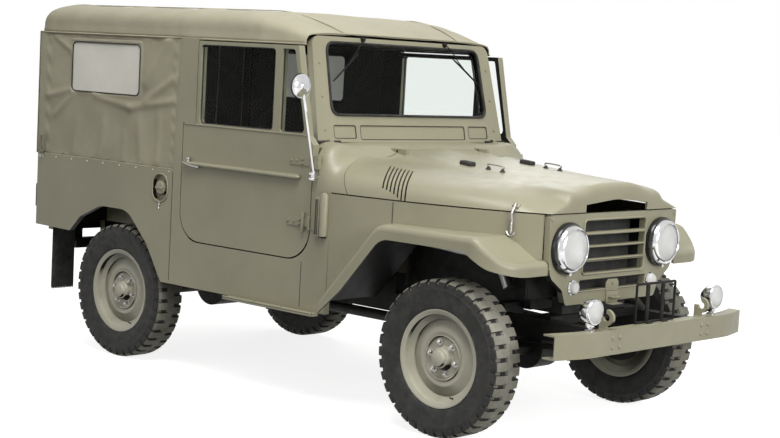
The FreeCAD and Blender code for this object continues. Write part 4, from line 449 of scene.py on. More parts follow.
class Piece:
    """Shapes gathered into one mesh, which then rides on a body."""

    def __init__(self):
        self.points = []
        self.faces = []

    def add(self, points, faces, matrix=None):
        first = len(self.points)
        self.points += [matrix @ Vector(p) if matrix else Vector(p) for p in points]
        self.faces += [[first + i for i in face] for face in faces]

    def grid(self, rows, ring=False, loop=False, matrix=None):
        """Quads between rows of points. ring joins each row's ends, loop joins the last row to the first."""
        count = len(rows[0])
        faces = []
        for i in range(len(rows) if loop else len(rows) - 1):
            a, b = i * count, (i + 1) % len(rows) * count
            for j in range(count if ring else count - 1):
                k = (j + 1) % count
                faces.append((a + j, a + k, b + k, b + j))
        self.add([p for row in rows for p in row], faces, matrix)

    def lathe(self, profile, matrix, sides=32):
        """A turned form about local Z, from (radius, height) points."""
        turns = [2 * pi * k / sides for k in range(sides)]
        self.grid([[(r * cos(t), r * sin(t), z) for t in turns] for r, z in profile], ring=True,
                  matrix=matrix)

    def tube(self, path, radius, sides=8, closed=False, flat=1.0, matrix=None):
        """A round or flattened tube along a path."""
        path = [Vector(p) for p in path]
        count = len(path)
        side = None
        rows = []
        for i, point in enumerate(path):
            ahead = path[(i + 1) % count] if closed or i + 1 < count else point
            behind = path[i - 1] if closed or i else point
            way = (ahead - behind).normalized()
            if side is None:
                side = way.cross(Vector((0, 0, 1)) if abs(way.z) < 0.9 else Vector((0, 1, 0)))
            side = (side - way * side.dot(way)).normalized()
            over = way.cross(side)
            size = radius[i] if isinstance(radius, (list, tuple)) else radius
            rows.append([point + side * size * cos(2 * pi * k / sides)
                         + over * size * flat * sin(2 * pi * k / sides) for k in range(sides)])
        if not closed:
            rows = [[path[0]] * sides] + rows + [[path[-1]] * sides]
        self.grid(rows, ring=True, loop=closed, matrix=matrix)

    def pipe(self, points, steps, radius, sides=8, **more):
        """A tube along a rounded path through a few points."""
        self.tube(smooth_path(points, steps), radius, sides, **more)

    def box(self, low, high, bevel=1.5, matrix=None, segments=2):
        """A block with rounded edges between two opposite corners."""
        mesh = bmesh.new()
        bmesh.ops.create_cube(mesh, size=1)
        low, high = [Vector(map(pick, low, high)) for pick in (min, max)]
        for vert in mesh.verts:
            vert.co = Vector([(high[i] - low[i]) * vert.co[i] + (high[i] + low[i]) / 2 for i in range(3)])
        bmesh.ops.bevel(mesh, geom=mesh.edges[:], offset=bevel, segments=segments, profile=0.5,
                        affect="EDGES")
        mesh.verts.index_update()
        self.add([v.co.copy() for v in mesh.verts], [[v.index for v in f.verts] for f in mesh.faces], matrix)
        mesh.free()

    def plate(self, outline, low, high, matrix=None, bevel=0.0):
        """A flat shape in local XY with thickness along local Z, its top edge eased by bevel."""
        count = len(outline)
        middle = Vector((sum(p[0] for p in outline) / count, sum(p[1] for p in outline) / count))
        rows = [[(u, v, low) for u, v in outline], [(u, v, high - bevel) for u, v in outline]]
        if bevel:
            arms = [Vector(p) - middle for p in outline]
            inner = [middle + arm * (1 - bevel / arm.length) for arm in arms]
            rows.append([(u, v, high) for u, v in inner])
        first = len(self.points)
        self.grid(rows, ring=True, matrix=matrix)
        last = first + (len(rows) - 1) * count
        self.faces.append([last + i for i in range(count)])
        self.faces.append([first + i for i in reversed(range(count))])

    def bolt(self, matrix, radius=6.0, height=5.0):
        """A hexagon head on a thin washer, standing on local XY."""
        self.lathe([(radius * 1.35, -0.5), (radius * 1.35, 1.2), (radius * 1.1, 1.4), (0, 1.4)], matrix, 16)
        corners = [(radius * cos(radians(60 * k)), radius * sin(radians(60 * k)))
                   for k in range(6)]
        self.plate(corners, 1.0, 1.2 + height, matrix, radius * 0.12)

    def rivet(self, matrix, radius=5.0, height=2.5):
        shape = [(1, None), (0.95, 0.4), (0.6, 0.85), (0, 1)]
        self.lathe([(radius * r, -0.5 if h is None else height * h) for r, h in shape], matrix, 12)

    def done(self, name, slot, body="car", smooth=35, merge=0.02, finish=None):
        """Makes the object, with its slot's own finish unless another is given, and rides it on its body."""
        mesh = bpy.data.meshes.new(name)
        mesh.from_pydata([(Vector(p) + TO_ROW) / 1000 for p in self.points], [], self.faces)
        shaped = bmesh.new()
        shaped.from_mesh(mesh)
        bmesh.ops.remove_doubles(shaped, verts=shaped.verts, dist=merge / 1000)
        bmesh.ops.recalc_face_normals(shaped, faces=shaped.faces)
        shaped.to_mesh(mesh)
        shaped.free()
        mesh.shade_smooth()
        mesh.set_sharp_from_angle(angle=radians(smooth))
        mesh.materials.append(finish or MATERIALS[slot])
        return add_piece(name, mesh, body)


TREES = {}


def on(node, start, way, spin=0.0, toward=(1, 0, 0), lift=0.0):
    """Where a line from a place meets a CAD node: a matrix whose local Z stands off its surface."""
    if node not in TREES:
        data = frame["nodes"][node].data
        TREES[node] = BVHTree.FromPolygons([v.co for v in data.vertices], [p.vertices for p in data.polygons])
    origin = (Vector(start) + TO_ROW) / 1000
    point, normal = TREES[node].ray_cast(origin, Vector(way).normalized())[:2]
    if point is None:
        raise RuntimeError(f"nothing of {node} lies along {way} from {start}")
    if normal.dot(Vector(way)) > 0:
        normal = -normal
    return along(normal, point * 1000 - TO_ROW + normal * lift, spin, toward)


def side_on(node, x, z, sign, **more):
    return on(node, (x, 1400 * sign, z), (0, -sign, 0), **more)


def front_on(node, y, z, **more):
    return on(node, (3600, y, z), (-1, 0, 0), **more)


def top_on(node, x, y, **more):
    return on(node, (x, y, 2400), (0, 0, -1), **more)


def clear_film(name):
    """Old window film, sewn into the curtains: clear, yellowed and faintly rippled."""
    g = Graph(name)
    tint = g.ramp(g.noise(5.0, 5), (0.3, (0.80, 0.78, 0.69)), (0.75, (0.88, 0.86, 0.78)))
    return g.set(color=tint, rough=g.ramp(g.noise(9.0, 5), (0.3, 0.40), (0.7, 0.52)), clear=0.15, ior=1.3,
                 normal=g.bump(g.noise(5.0, 2), 0.004, 0.3))


def lens_glass(name, tint, ribs=150.0, clear=0.7):
    """Pressed lamp glass with upright flutes."""
    g = Graph(name)
    flutes, steps = g.wave("Y", ribs), g.wave("Z", ribs * 0.6)
    return g.set(color=tint, rough=0.16, clear=clear, ior=1.45,
                 normal=g.bump(g.math("ADD", flutes, steps), 0.0012, 0.6))


def plain(name, base, rough=0.5, metal=0.0):
    """A worn single finish: a little cloud in the colour and the gloss."""
    g = Graph(name)
    cloud = g.ramp(g.noise(24.0, 5), (0.3, times(base, 0.8)), (0.72, base))
    wear = g.ramp(g.noise(40.0, 4), (0.3, rough * 0.8), (0.7, rough * 1.2))
    return g.set(color=cloud, metal=metal, rough=wear,
                 normal=g.bump(g.noise(260.0, 2), 0.0004, 0.3))


CLEAR_FILM = clear_film("curtain_film")
LAMP_GLASS = lens_glass("lamp_glass", (0.95, 0.95, 0.93), clear=0.35)
RED_GLASS = lens_glass("red_lens", (0.45, 0.02, 0.015), 220.0)
REFLECTOR = plain("lamp_reflector", (0.80, 0.80, 0.79), 0.14, 1.0)
GLOSS_BLACK = plain("gloss_black", (0.012, 0.012, 0.012), 0.16)
STEEL = plain("bright_steel", (0.42, 0.41, 0.39), 0.34, 1.0)
SEAM_DARK = plain("seam_shadow", (0.022, 0.021, 0.018), 0.8)
DIAL_WHITE = plain("dial_marks", (0.70, 0.69, 0.62), 0.5)
WEBBING = plain("webbing", (0.20, 0.185, 0.125), 0.9)

# A paler rubber for the tread's raised faces; groove bottoms and the walls between bars keep the dark tyre
# rubber
PALE_TREAD = rubber("pale_tread", (0.19, 0.185, 0.15), 0.85, (0.30, 0.285, 0.235))

SIDES = ((1, "left"), (-1, "right"))
WHEEL_RADIUS = 358
WHEELS = [(f"{end}_{side}", x, track * sign, sign)
          for end, x, track in (("front", 2285, 700), ("rear", 0, 680)) for sign, side in SIDES]


# Tyres: one mesh with two staggered rows of bars, used by all four wheels
TYRE_SIDE = [(63.7, 223.3, 0), (70, 227, 0), (78, 239, 0), (82, 262, 0), (84.2, 285, 0), (85.0, 303, 0),
             (87.0, 308, 0), (87.0, 312, 0), (85.0, 315, 0), (84.6, 322, 0.35), (83.4, 334, 0.75),
             (79, 346, 1), (71, 354, 1), (58, 357.6, 1), (38, 358, 1), (22, 358, 1), (17, 358, 0.1),
             (3, 358, 0)]
TYRE_BARS = 38
TYRE_GROOVE = 11.0
BAR_STEPS = ((0.0, 1, 1), (0.035, 0, 1), (0.30, 0, 1), (0.335, 1, 1),
             (0.5, 1, 1), (0.535, 1, 0), (0.80, 1, 0), (0.835, 1, 1))


def tyre_ring(fraction, left_bar, right_bar):
    """One section of the tyre: the bars of its two sides stand half a bar apart."""
    row = []
    for half, bar in ((1, left_bar), (-1, right_bar)):
        side = []
        for y, r, share in TYRE_SIDE:
            low = 0 if bar else TYRE_GROOVE * share
            reach = y - (low * 0.5 if share and y > 60 else 0)
            side.append((half * reach, r - low * (0.45 if 0 < share < 1 else 1)))
        row.append(side)
    section = row[0] + list(reversed(row[1]))
    angle = 2 * pi * fraction
    return [Vector((r * cos(angle), y, r * sin(angle))) for y, r in section]


def make_tyres():
    rings = []
    for bar in range(TYRE_BARS):
        for share, left_bar, right_bar in BAR_STEPS:
            rings.append(tyre_ring((bar + share) / TYRE_BARS, left_bar, right_bar))
    for wheel, x, y, sign in WHEELS:
        tyre = Piece()
        turn = 0 if sign > 0 else pi
        tyre.grid(rings, loop=True,
                  matrix=Matrix.Translation((x, y, WHEEL_RADIUS)) @ Matrix.Rotation(turn, 4, "Z"))
        cover = tyre.done(f"tyre_cover_{wheel}", "tyre_rubber", f"wheel_{wheel}", 32)
        cover.data.materials.append(PALE_TREAD)
        # The tread's outer faces and sideways faces take the paler rubber; groove bottoms and walls stay dark
        for face in cover.data.polygons:
            away = Vector((face.center.x - (REAR_AXLE + x) / 1000, 0, face.center.z - WHEEL_RADIUS / 1000))
            if away.length > 0.333 and face.normal.dot(away.normalized()) > 0.35:
                face.material_index = 1 if away.length > 0.3495 or abs(face.normal.y) > 0.3 else 0
        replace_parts(cover, f"tyre_{wheel}")


def make_hubs():
    """The hub flange with its studs, and the grease cap, on each rim's disc."""
    for wheel, x, y, sign in WHEELS:
        body = f"wheel_{wheel}"
        out = along((0, sign, 0), (x, y, WHEEL_RADIUS), toward=(0, 0, 1))
        flange = Piece()
        flange.lathe([(104, 34), (101, 40), (96, 37), (93, 28), (56, 26), (52, 30), (50, 38)], out, 48)
        flange.lathe([(49, 28), (49, 52), (45, 58), (38, 60), (36, 66), (33, 72), (22, 76), (0, 77.5)],
                     out, 40)
        flange.done(f"hub_{wheel}", "wheel_paint", body)
        nuts = Piece()
        for k in range(6):
            angle = radians(60 * k + 18)
            spot = out @ Matrix.Translation((74 * cos(angle), 74 * sin(angle), 27))
            nuts.lathe([(17, 0), (16, 3), (13, 5), (0, 5)], spot, 20)
            nuts.bolt(spot @ Matrix.Translation((0, 0, 4)), 11, 13)
            nuts.lathe([(6, 17), (6, 22), (4.5, 24), (0, 24)], spot, 12)
        nuts.done(f"wheel_nuts_{wheel}", "cast_metal", body, finish=STEEL)
        valve = Piece()
        tip = out @ Matrix.Rotation(radians(205), 4, "Z") @ Matrix.Translation((188, 0, 42))
        valve.tube([(0, 0, 0), (-3, 0, 10), (-8, 0, 19)], [4.2, 3.4, 3.0], 10, matrix=tip)
        valve.done(f"tyre_valve_{wheel}", "tyre_rubber", body)


# Canvas top
ROOF_REAR, ROOF_FRONT, ROOF_BREAK = -743.0, 1290.0, 900.0
HEM, ROOF_TOP, ROOF_LOW = 1724.0, 1890.0, 1784.0
ROOF_HALF = 776.0


def roof_shape(x):
    """Half width and top of the roof at a place along the car."""
    tail = max(0.0, ROOF_REAR + 90 - x) / 90
    drop = 90 * (1 - sqrt(max(0.0, 1 - tail * tail)))
    share = (x - ROOF_REAR - 90) / (ROOF_FRONT - ROOF_REAR - 90)
    half = ROOF_HALF - 78 * max(0.0, share - 0.4) ** 2 / 0.36 - 0.3 * drop
    fall = (ROOF_TOP - ROOF_LOW) * (max(0.0, x - ROOF_BREAK) / (ROOF_FRONT - ROOF_BREAK)) ** 1.6
    return half, ROOF_TOP - fall - 0.9 * drop


def roof_section(x, count, low=HEM):
    half, top = roof_shape(x)
    path = []
    for step in range(241):
        t = abs(step - 120) / 120
        turn = 1 - t
        rise = sin(pi / 2 * turn ** 2.2) ** 0.32 if turn else 0.0
        spread = cos(pi / 2 * turn ** 2.2) ** 0.46 if turn < 1 else 0.0
        path.append((x, copysign(half * spread, step - 120), low + (top - low) * rise))
    return even(path, count)


def bump_on(x, y, a, b, size, width):
    """Height of a fold that runs from a to b, easing out at both ends."""
    ax, ay = b[0] - a[0], b[1] - a[1]
    length = hypot(ax, ay)
    share = ((x - a[0]) * ax + (y - a[1]) * ay) / length ** 2
    across = ((x - a[0]) * ay - (y - a[1]) * ax) / length
    beyond = max(0.0, -share, share - 1) * length
    return size * exp(-(across / width) ** 2 - (beyond / (width * 1.6)) ** 2)


ROOF_BOWS = (-640, -90, 455, 1000)
ROOF_FOLDS = [((1270, -660), (980, -520), 5, 30), ((1275, 640), (1000, 470), 5, 30),
              ((1260, -380), (1060, -300), 3, 34), ((1255, 250), (1040, 330), 3, 34),
              ((-700, -640), (-520, -420), 4, 34), ((-700, 600), (-500, 430), 4, 34),
              ((440, -700), (520, -380), 3, 26), ((-140, -700), (-90, -350), 2.5, 30)]


def roof_lift(x, y):
    """How far the cloth stands off its plain form: pulled over the bows, slack between them."""
    nearest = min(abs(x - bow) for bow in ROOF_BOWS)
    lift = 3.0 * exp(-(nearest / 26) ** 2) - 2.2 * (1 - exp(-(nearest / 150) ** 2))
    lift += sum(bump_on(x, y, *fold) for fold in ROOF_FOLDS)
    edge = abs(y) / ROOF_HALF
    lift += 0.9 * sin(x / 21 + 3 * edge) * max(0.0, edge - 0.82) / 0.18
    lift += 0.8 * sin(x / 57 + y / 90) + 0.6 * sin(x / 83 - y / 61)
    return lift


CLOTH_THICK = 2.2


def make_cloth(name, rows, lift, face, ring=False):
    """A cloth grid in mm, pushed out along its own normals by lift(point), then given its thickness."""
    mesh = bmesh.new()
    count = len(rows[0])
    verts = [mesh.verts.new(p) for row in rows for p in row]
    mesh.verts.index_update()
    for i in range(len(rows) - 1):
        a, b = i * count, (i + 1) * count
        for j in range(count if ring else count - 1):
            k = (j + 1) % count
            mesh.faces.new((verts[a + j], verts[a + k], verts[b + k], verts[b + j]))
    mesh.normal_update()
    mesh.faces.ensure_lookup_table()
    if face.dot(mesh.faces[len(mesh.faces) // 2].normal) < 0:
        bmesh.ops.reverse_faces(mesh, faces=mesh.faces[:])
        mesh.normal_update()
    moves = [vert.normal * lift(vert.co) for vert in mesh.verts]
    for vert, move in zip(mesh.verts, moves):
        vert.co = (vert.co + move + TO_ROW) / 1000
    data = bpy.data.meshes.new(name)
    mesh.to_mesh(data)
    mesh.free()
    data.shade_smooth()
    data.materials.append(MATERIALS["canvas"])
    thing = add_piece(name, data)
    solid = thing.modifiers.new("thickness", "SOLIDIFY")
    solid.thickness = CLOTH_THICK / 1000
    solid.offset = -1
    return thing


def cloth_area(thing):
    return sum(face.area for face in thing.data.polygons)


def make_canopy():
    across = 97
    tail = [ROOF_REAR + 90 * (1 - cos(radians(a))) for a in (0, 12, 24, 36, 48, 60, 72, 84)]
    span = [ROOF_REAR + 90 + (ROOF_FRONT - ROOF_REAR - 92) * k / 120 for k in range(121)]
    stations = tail + span
    rows = [roof_section(x, across) for x in stations]
    first = rows[0]
    closing = [[Vector((p.x, p.y, HEM + (p.z - HEM) * share)) for p in first] for share in (0, 0.34, 0.67)]
    rows = closing + rows
    roof = make_cloth("canopy_cloth", rows, lambda p: roof_lift(p.x, p.y) + (3 if p.z < HEM + 22 else 0),
                      Vector((0, 0, 1)))
    edge = Piece()
    for sign in (1, -1):
        hem = [(x, sign * (roof_shape(x)[0] + 4), HEM + 1) for x in stations[::3] + [ROOF_FRONT]]
        edge.tube(hem, 4.2, 10)
        line = 20 if sign < 0 else -21
        welt = [roof_section(x, across)[line] + Vector((0, sign * 1.6, 3.0)) for x in span[::4]]
        edge.tube(welt, 2.6, 8)
    back = [(ROOF_REAR - 4, p.y, HEM + 1) for p in rows[0][::6]]
    edge.tube(back, 4.2, 10)
    front = [p + Vector((0, 0, 1.5)) for p in roof_section(ROOF_FRONT - 6, 61)]
    edge.tube(front, 4.0, 8)
    hemming = edge.done("canopy_hem", "canvas")
    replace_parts(roof, "canopy")
    make_roof_bows()


def make_roof_bows():
    """The steel bows and rails that carry the canvas."""
    bows = Piece()
    for x in ROOF_BOWS:
        section = roof_section(x, 41, 1600)
        inner = [Vector((p.x, p.y * 0.968, p.z - 21)) for p in section]
        if x < 440:
            inner = [Vector((x, inner[0].y, 1050))] + inner + [Vector((x, inner[-1].y, 1050))]
            bows.tube(inner, 10, 10)
        else:
            bows.tube([p for p in inner if p.z > 1735], 10, 10)
    for sign in (1, -1):
        bows.tube([(x, sign * (roof_shape(x)[0] * 0.955), 1738) for x in range(-700, 1260, 120)], 9, 8)
    bows.done("canopy_bows", "chassis_black")


# Curtains: a ring of cloth from the window's edge out to the curtain's own edge
def spread_out(inner, outer, rings):
    return [[Vector(a).lerp(Vector(b), k / rings) for a, b in zip(inner, outer)] for k in range(rings + 1)]


def four_sides(corners, counts):
    """Points along the four sides of a quadrilateral, each side without its last corner."""
    out = []
    for k in range(4):
        a, b = Vector(corners[k]), Vector(corners[(k + 1) % 4])
        out += [a.lerp(b, step / counts[k]) for step in range(counts[k])]
    return out


def round_off(points, u0, u1, v0, v1, radius):
    """Points on a rectangle's edge, moved onto its round corners."""
    out = []
    for u, v in points:
        cu = min(max(u, u0 + radius), u1 - radius)
        cv = min(max(v, v0 + radius), v1 - radius)
        away = Vector((u - cu, v - cv))
        out.append(Vector((cu, cv)) + away.normalized() * radius if away.length else Vector((u, v)))
    return out


CURTAIN_FOLDS = [((371, 1722), (201, 1488), 9, 24), ((424, 1519), (207, 1394), 8, 22),
                 ((-230, 1392), (69, 1348), 6, 20), ((69, 1348), (408, 1396), 7, 20),
                 ((-457, 1413), (-657, 1374), 6, 18), ((-437, 1386), (-586, 1273), 7, 20),
                 ((-470, 1640), (-600, 1700), 5, 18), ((-150, 1230), (-190, 1060), 4, 30),
                 ((150, 1260), (175, 1060), 4, 32), ((310, 1300), (300, 1055), 4.5, 26),
                 ((-380, 1240), (-420, 1056), 4, 28), ((30, 1180), (20, 1056), 3, 24)]


# The side curtains reach round behind the rear curtain's edge
CORNER = -744.0


def curtain_lift(x, z):
    lift = sum(bump_on(x, z, *fold) for fold in CURTAIN_FOLDS)
    lift += 3.0 * sin(z / 17 + x / 60) * exp(-((x + 655) / 20) ** 2)
    lift += 2.2 * sin(z / 13) * exp(-((x - 424) / 14) ** 2)
    lift += 2.0 * sin(x / 24) * exp(-((z - 1714) / 18) ** 2)
    lift += 1.0 * sin(x / 47 + z / 71) + 0.8 * sin(x / 90 - z / 39)
    return lift


def window_edge(u, v, u0, u1, v0, v1):
    """Distance from the window's straight edges."""
    return hypot(max(u0 - u, u - u1, 0.0), max(v0 - v, v - v1, 0.0))


def bound_window(u, v, u0, u1, v0, v1):
    """The sewn band round a window: raised, with a line of stitching pulled in at its edge."""
    far = window_edge(u, v, u0, u1, v0, v1)
    return 2.4 * exp(-((far - 9) / 8) ** 2) - 1.6 * exp(-((far - 22) / 3.0) ** 2)


def make_curtain(name, trims, window, counts, corners, rings, place, lift, out, ripple, hem_lift):
    """A curtain with a sewn window: its cloth, piping and film, and its hem, still open for more trim."""
    u0, u1, v0, v1 = window
    inner = round_off(four_sides([(u0, v0), (u1, v0), (u1, v1), (u0, v1)], counts), u0, u1, v0, v1, 30)
    outer = four_sides(corners, counts)
    rows = [[place(u, v, 0.0) for u, v in row] for row in spread_out(inner, outer, rings)]
    cloth = make_cloth(name, rows, lift, out, ring=True)
    trim = Piece()
    trim.tube([place(u, v, 1.5) for u, v in inner], 4.0, 8, closed=True)
    middle = [((u0 + u1) / 2, (v0 + v1) / 2)] * len(inner)
    pane = Piece()
    pane.grid([[place(u, v, ripple(u, v) - 1.0) for u, v in row] for row in spread_out(middle, inner, 12)],
              ring=True)
    edge = Piece()
    edge.tube([place(u, v, hem_lift) for u, v in outer[::4]], 3.4, 8, closed=True)
    return (cloth, trim.done(trims[0], "flap_rubber"), pane.done(trims[1], "window_glass", finish=CLEAR_FILM),
            edge)


def make_side_curtains():
    window = u0, u1, v0, v1 = -443.0, 137.0, 1412.0, 1680.0
    corners = [(CORNER, 1049.5), (441, 1049.5), (471, 1727), (CORNER, 1727)]
    for sign, side in SIDES:
        def place(u, v, off):
            return Vector((u, sign * (775.0 + off), v))

        def lift(p):
            edge = min(p.x - CORNER, 457 - p.x, p.z - 1049, 1730 - p.z)
            hold = min(1.0, max(0.0, edge) / 30 + 0.15)
            return curtain_lift(p.x, p.z) * hold + bound_window(p.x, p.z, u0, u1, v0, v1) + 1.0

        cloth, piping, film, edge = make_curtain(
            f"side_curtain_{side}", (f"curtain_piping_{side}", f"curtain_film_{side}"), window,
            (120, 60, 120, 60), corners, 40, place, lift, Vector((0, sign, 0)),
            lambda u, v: 2.2 * sin(u / 70) * sin((v - 1412) / 85), 1.2)
        edge.rivet(along((0, sign, 0), place(-700, 1085, 2)), 8, 3)
        for x in range(-640, 430, 134):
            edge.rivet(along((0, sign, 0), place(x, 1062, 2.5)), 7, 3)
        hem = edge.done(f"curtain_hem_{side}", "canvas")
        if sign > 0:
            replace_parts(cloth, "side_curtains")
        cloth_area(cloth)


def make_rear_curtain():
    window = u0, u1, v0, v1 = -360.0, 360.0, 1380.0, 1640.0
    corners = [(-771, 1049.5), (771, 1049.5), (771, 1727), (-771, 1727)]
    folds = [((-360, 1380), (-700, 1150), 7, 26), ((360, 1380), (690, 1180), 7, 26),
             ((-200, 1340), (-240, 1060), 5, 34), ((40, 1330), (30, 1060), 4, 30),
             ((250, 1340), (280, 1060), 5, 30), ((-400, 1690), (-690, 1560), 5, 24),
             ((410, 1680), (700, 1540), 5, 24)]

    def lift(p):
        return (sum(bump_on(p.y, p.z, *fold) for fold in folds) + bound_window(p.y, p.z, u0, u1, v0, v1)
                + 1.2 * sin(p.y / 50 + p.z / 66) + 1.0)

    cloth, piping, film, straps = make_curtain(
        "rear_curtain_cloth", ("rear_piping", "rear_film"), window, (120, 50, 120, 50), corners, 36,
        lambda u, v, off: Vector((-739.0 - off, u, v)), lift, Vector((-1, 0, 0)),
        lambda u, v: 2.0 * sin(u / 80) * sin((v - 1380) / 83), 1.5)
    for y in (-560, 560):
        band = [(-745 - 2 * sin(k / 3), y + 3 * sin(k / 4), 1715 - 22 * k) for k in range(30)]
        straps.tube(band, 14, 8, flat=0.16)
        straps.box((-752, y - 18, 1196), (-744, y + 18, 1218), 2)
    hem = straps.done("rear_curtain_straps", "canvas", finish=WEBBING)
    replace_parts(cloth, "rear_curtain")
    cloth_area(cloth)


# Seats: crowned pads with sewn channels and piping
PAD_CUTS = 44
PAD_PRESSURE = 4.0


def pad_shape(low, high, up, crown, channels):
    """A stuffed block, in mm: round corners, a crown on the face that looks along up, sides pulled in."""
    low, high = Vector(low), Vector(high)
    half = (high - low) / 2
    middle = (high + low) / 2
    axis = max(range(3), key=lambda k: abs(up[k]))
    across = [k for k in range(3) if k != axis]
    mesh = bmesh.new()
    bmesh.ops.create_cube(mesh, size=2)
    bmesh.ops.subdivide_edges(mesh, edges=mesh.edges[:], cuts=PAD_CUTS, use_grid_fill=True)
    for vert in mesh.verts:
        p = vert.co.copy()
        power = 9
        p *= 1 / (abs(p.x) ** power + abs(p.y) ** power + abs(p.z) ** power) ** (1 / power)
        u, v, w = p[across[0]], p[across[1]], p[axis] * up[axis]
        swell = (1 - u ** 4) * (1 - v ** 4)
        spot = Vector((p.x * half.x, p.y * half.y, p.z * half.z))
        if w > -0.2:
            face = max(0.0, min(1.0, (w + 0.2) / 1.0))
            pull = 0.0
            for k in range(1, channels):
                seam = -1 + 2 * k / channels
                pull += exp(-((v - seam) * half[across[1]] / 4.0) ** 2)
            spot[axis] += up[axis] * face * (crown * swell - 6.0 * pull * min(1.0, swell * 2))
        waist = 3.0 * (1 - w * w)
        spot[across[0]] -= copysign(waist * (1 - v * v), u) * (abs(u) > 0.8)
        spot[across[1]] -= copysign(waist * (1 - u * u), v) * (abs(v) > 0.8)
        spot += Vector((0.7 * sin(spot.y / 31), 0.7 * sin(spot.x / 37), 0.8 * sin(spot.x / 43 + spot.y / 29)))
        vert.co = (spot + middle + TO_ROW) / 1000
    return mesh


def puff(mesh, cap):
    """Blows a pad up with cloth pressure, and lets no point move further than cap millimetres."""
    data = bpy.data.meshes.new("puffed")
    mesh.to_mesh(data)
    thing = add_object("puffed", data)
    rest = [v.co.copy() for v in data.vertices]
    cloth = thing.modifiers.new("cloth", "CLOTH")
    settings = cloth.settings
    settings.use_pressure = True
    settings.uniform_pressure_force = PAD_PRESSURE
    settings.effector_weights.gravity = 0.0
    settings.quality = 5
    settings.tension_stiffness = 20
    settings.compression_stiffness = 20
    settings.bending_stiffness = 2
    scene = bpy.context.scene
    for step in range(1, 13):
        scene.frame_set(step)
    depsgraph = bpy.context.evaluated_depsgraph_get()
    moved = thing.evaluated_get(depsgraph).data
    places = [v.co.copy() for v in moved.vertices]
    bpy.data.objects.remove(thing)
    scene.frame_set(1)
    for vert, old, new in zip(mesh.verts, rest, places):
        step = new - old
        if step.length > cap / 1000:
            step *= cap / 1000 / step.length
        vert.co = old + step


def make_pad(name, low, high, up, crown, channels):
    mesh = pad_shape(low, high, up, crown, channels)
    puff(mesh, 5.0)
    data = bpy.data.meshes.new(name)
    mesh.to_mesh(data)
    mesh.free()
    data.shade_smooth()
    data.materials.append(MATERIALS["seat_cover"])
    thing = add_piece(name, data)
    return thing


def make_seats():
    frames = Piece()
    piping = Piece()
    for sign, side in SIDES:
        y0, y1 = sorted((125 * sign, 595 * sign))
        cushion = make_pad(f"seat_cushion_{side}", (645, y0 + 4, 694), (1084, y1 - 4, 792),
                           (0, 0, 1), 16, 5)
        back = make_pad(f"seat_back_{side}", (562, y0 + 6, 740), (628, y1 - 6, 1212),
                        (1, 0, 0), 14, 1)
        piping.tube([(u, v, 789) for u, v in rounded(654, 1075, y0 + 14, y1 - 14, 44)], 4, 8, closed=True)
        piping.tube([(628, u, v) for u, v in rounded(y0 + 18, y1 - 18, 752, 1200, 50)], 4, 8, closed=True)
        frames.tube([(u, v, 688) for u, v in rounded(650, 1080, y0 + 8, y1 - 8, 40)], 8, 8, closed=True)
        hoop = [(560, y0 + 20, 690), (552, y0 + 22, 900), (548, y0 + 60, 1180), (548, y1 - 60, 1180),
                (552, y1 - 22, 900), (560, y1 - 20, 690)]
        frames.pipe(hoop, 8, 8, 8)
        inner, outer = sorted((440 * sign, 731 * sign))
        bench = make_pad(f"bench_{side}", (-646, inner, 838), (376, outer, 916), (0, 0, 1), 10, 1)
        rim = sorted((452 * sign, 720 * sign))
        piping.tube([(u, v, 908) for u, v in rounded(-634, 364, rim[0], rim[1], 30)], 3.5, 8, closed=True)
        if sign > 0:
            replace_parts(cushion, "front_seats")
            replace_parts(bench, "rear_benches")
            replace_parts(back, "front_seats")
    piping.done("seat_piping", "seat_cover")
    frames.done("seat_frames", "chassis_black")


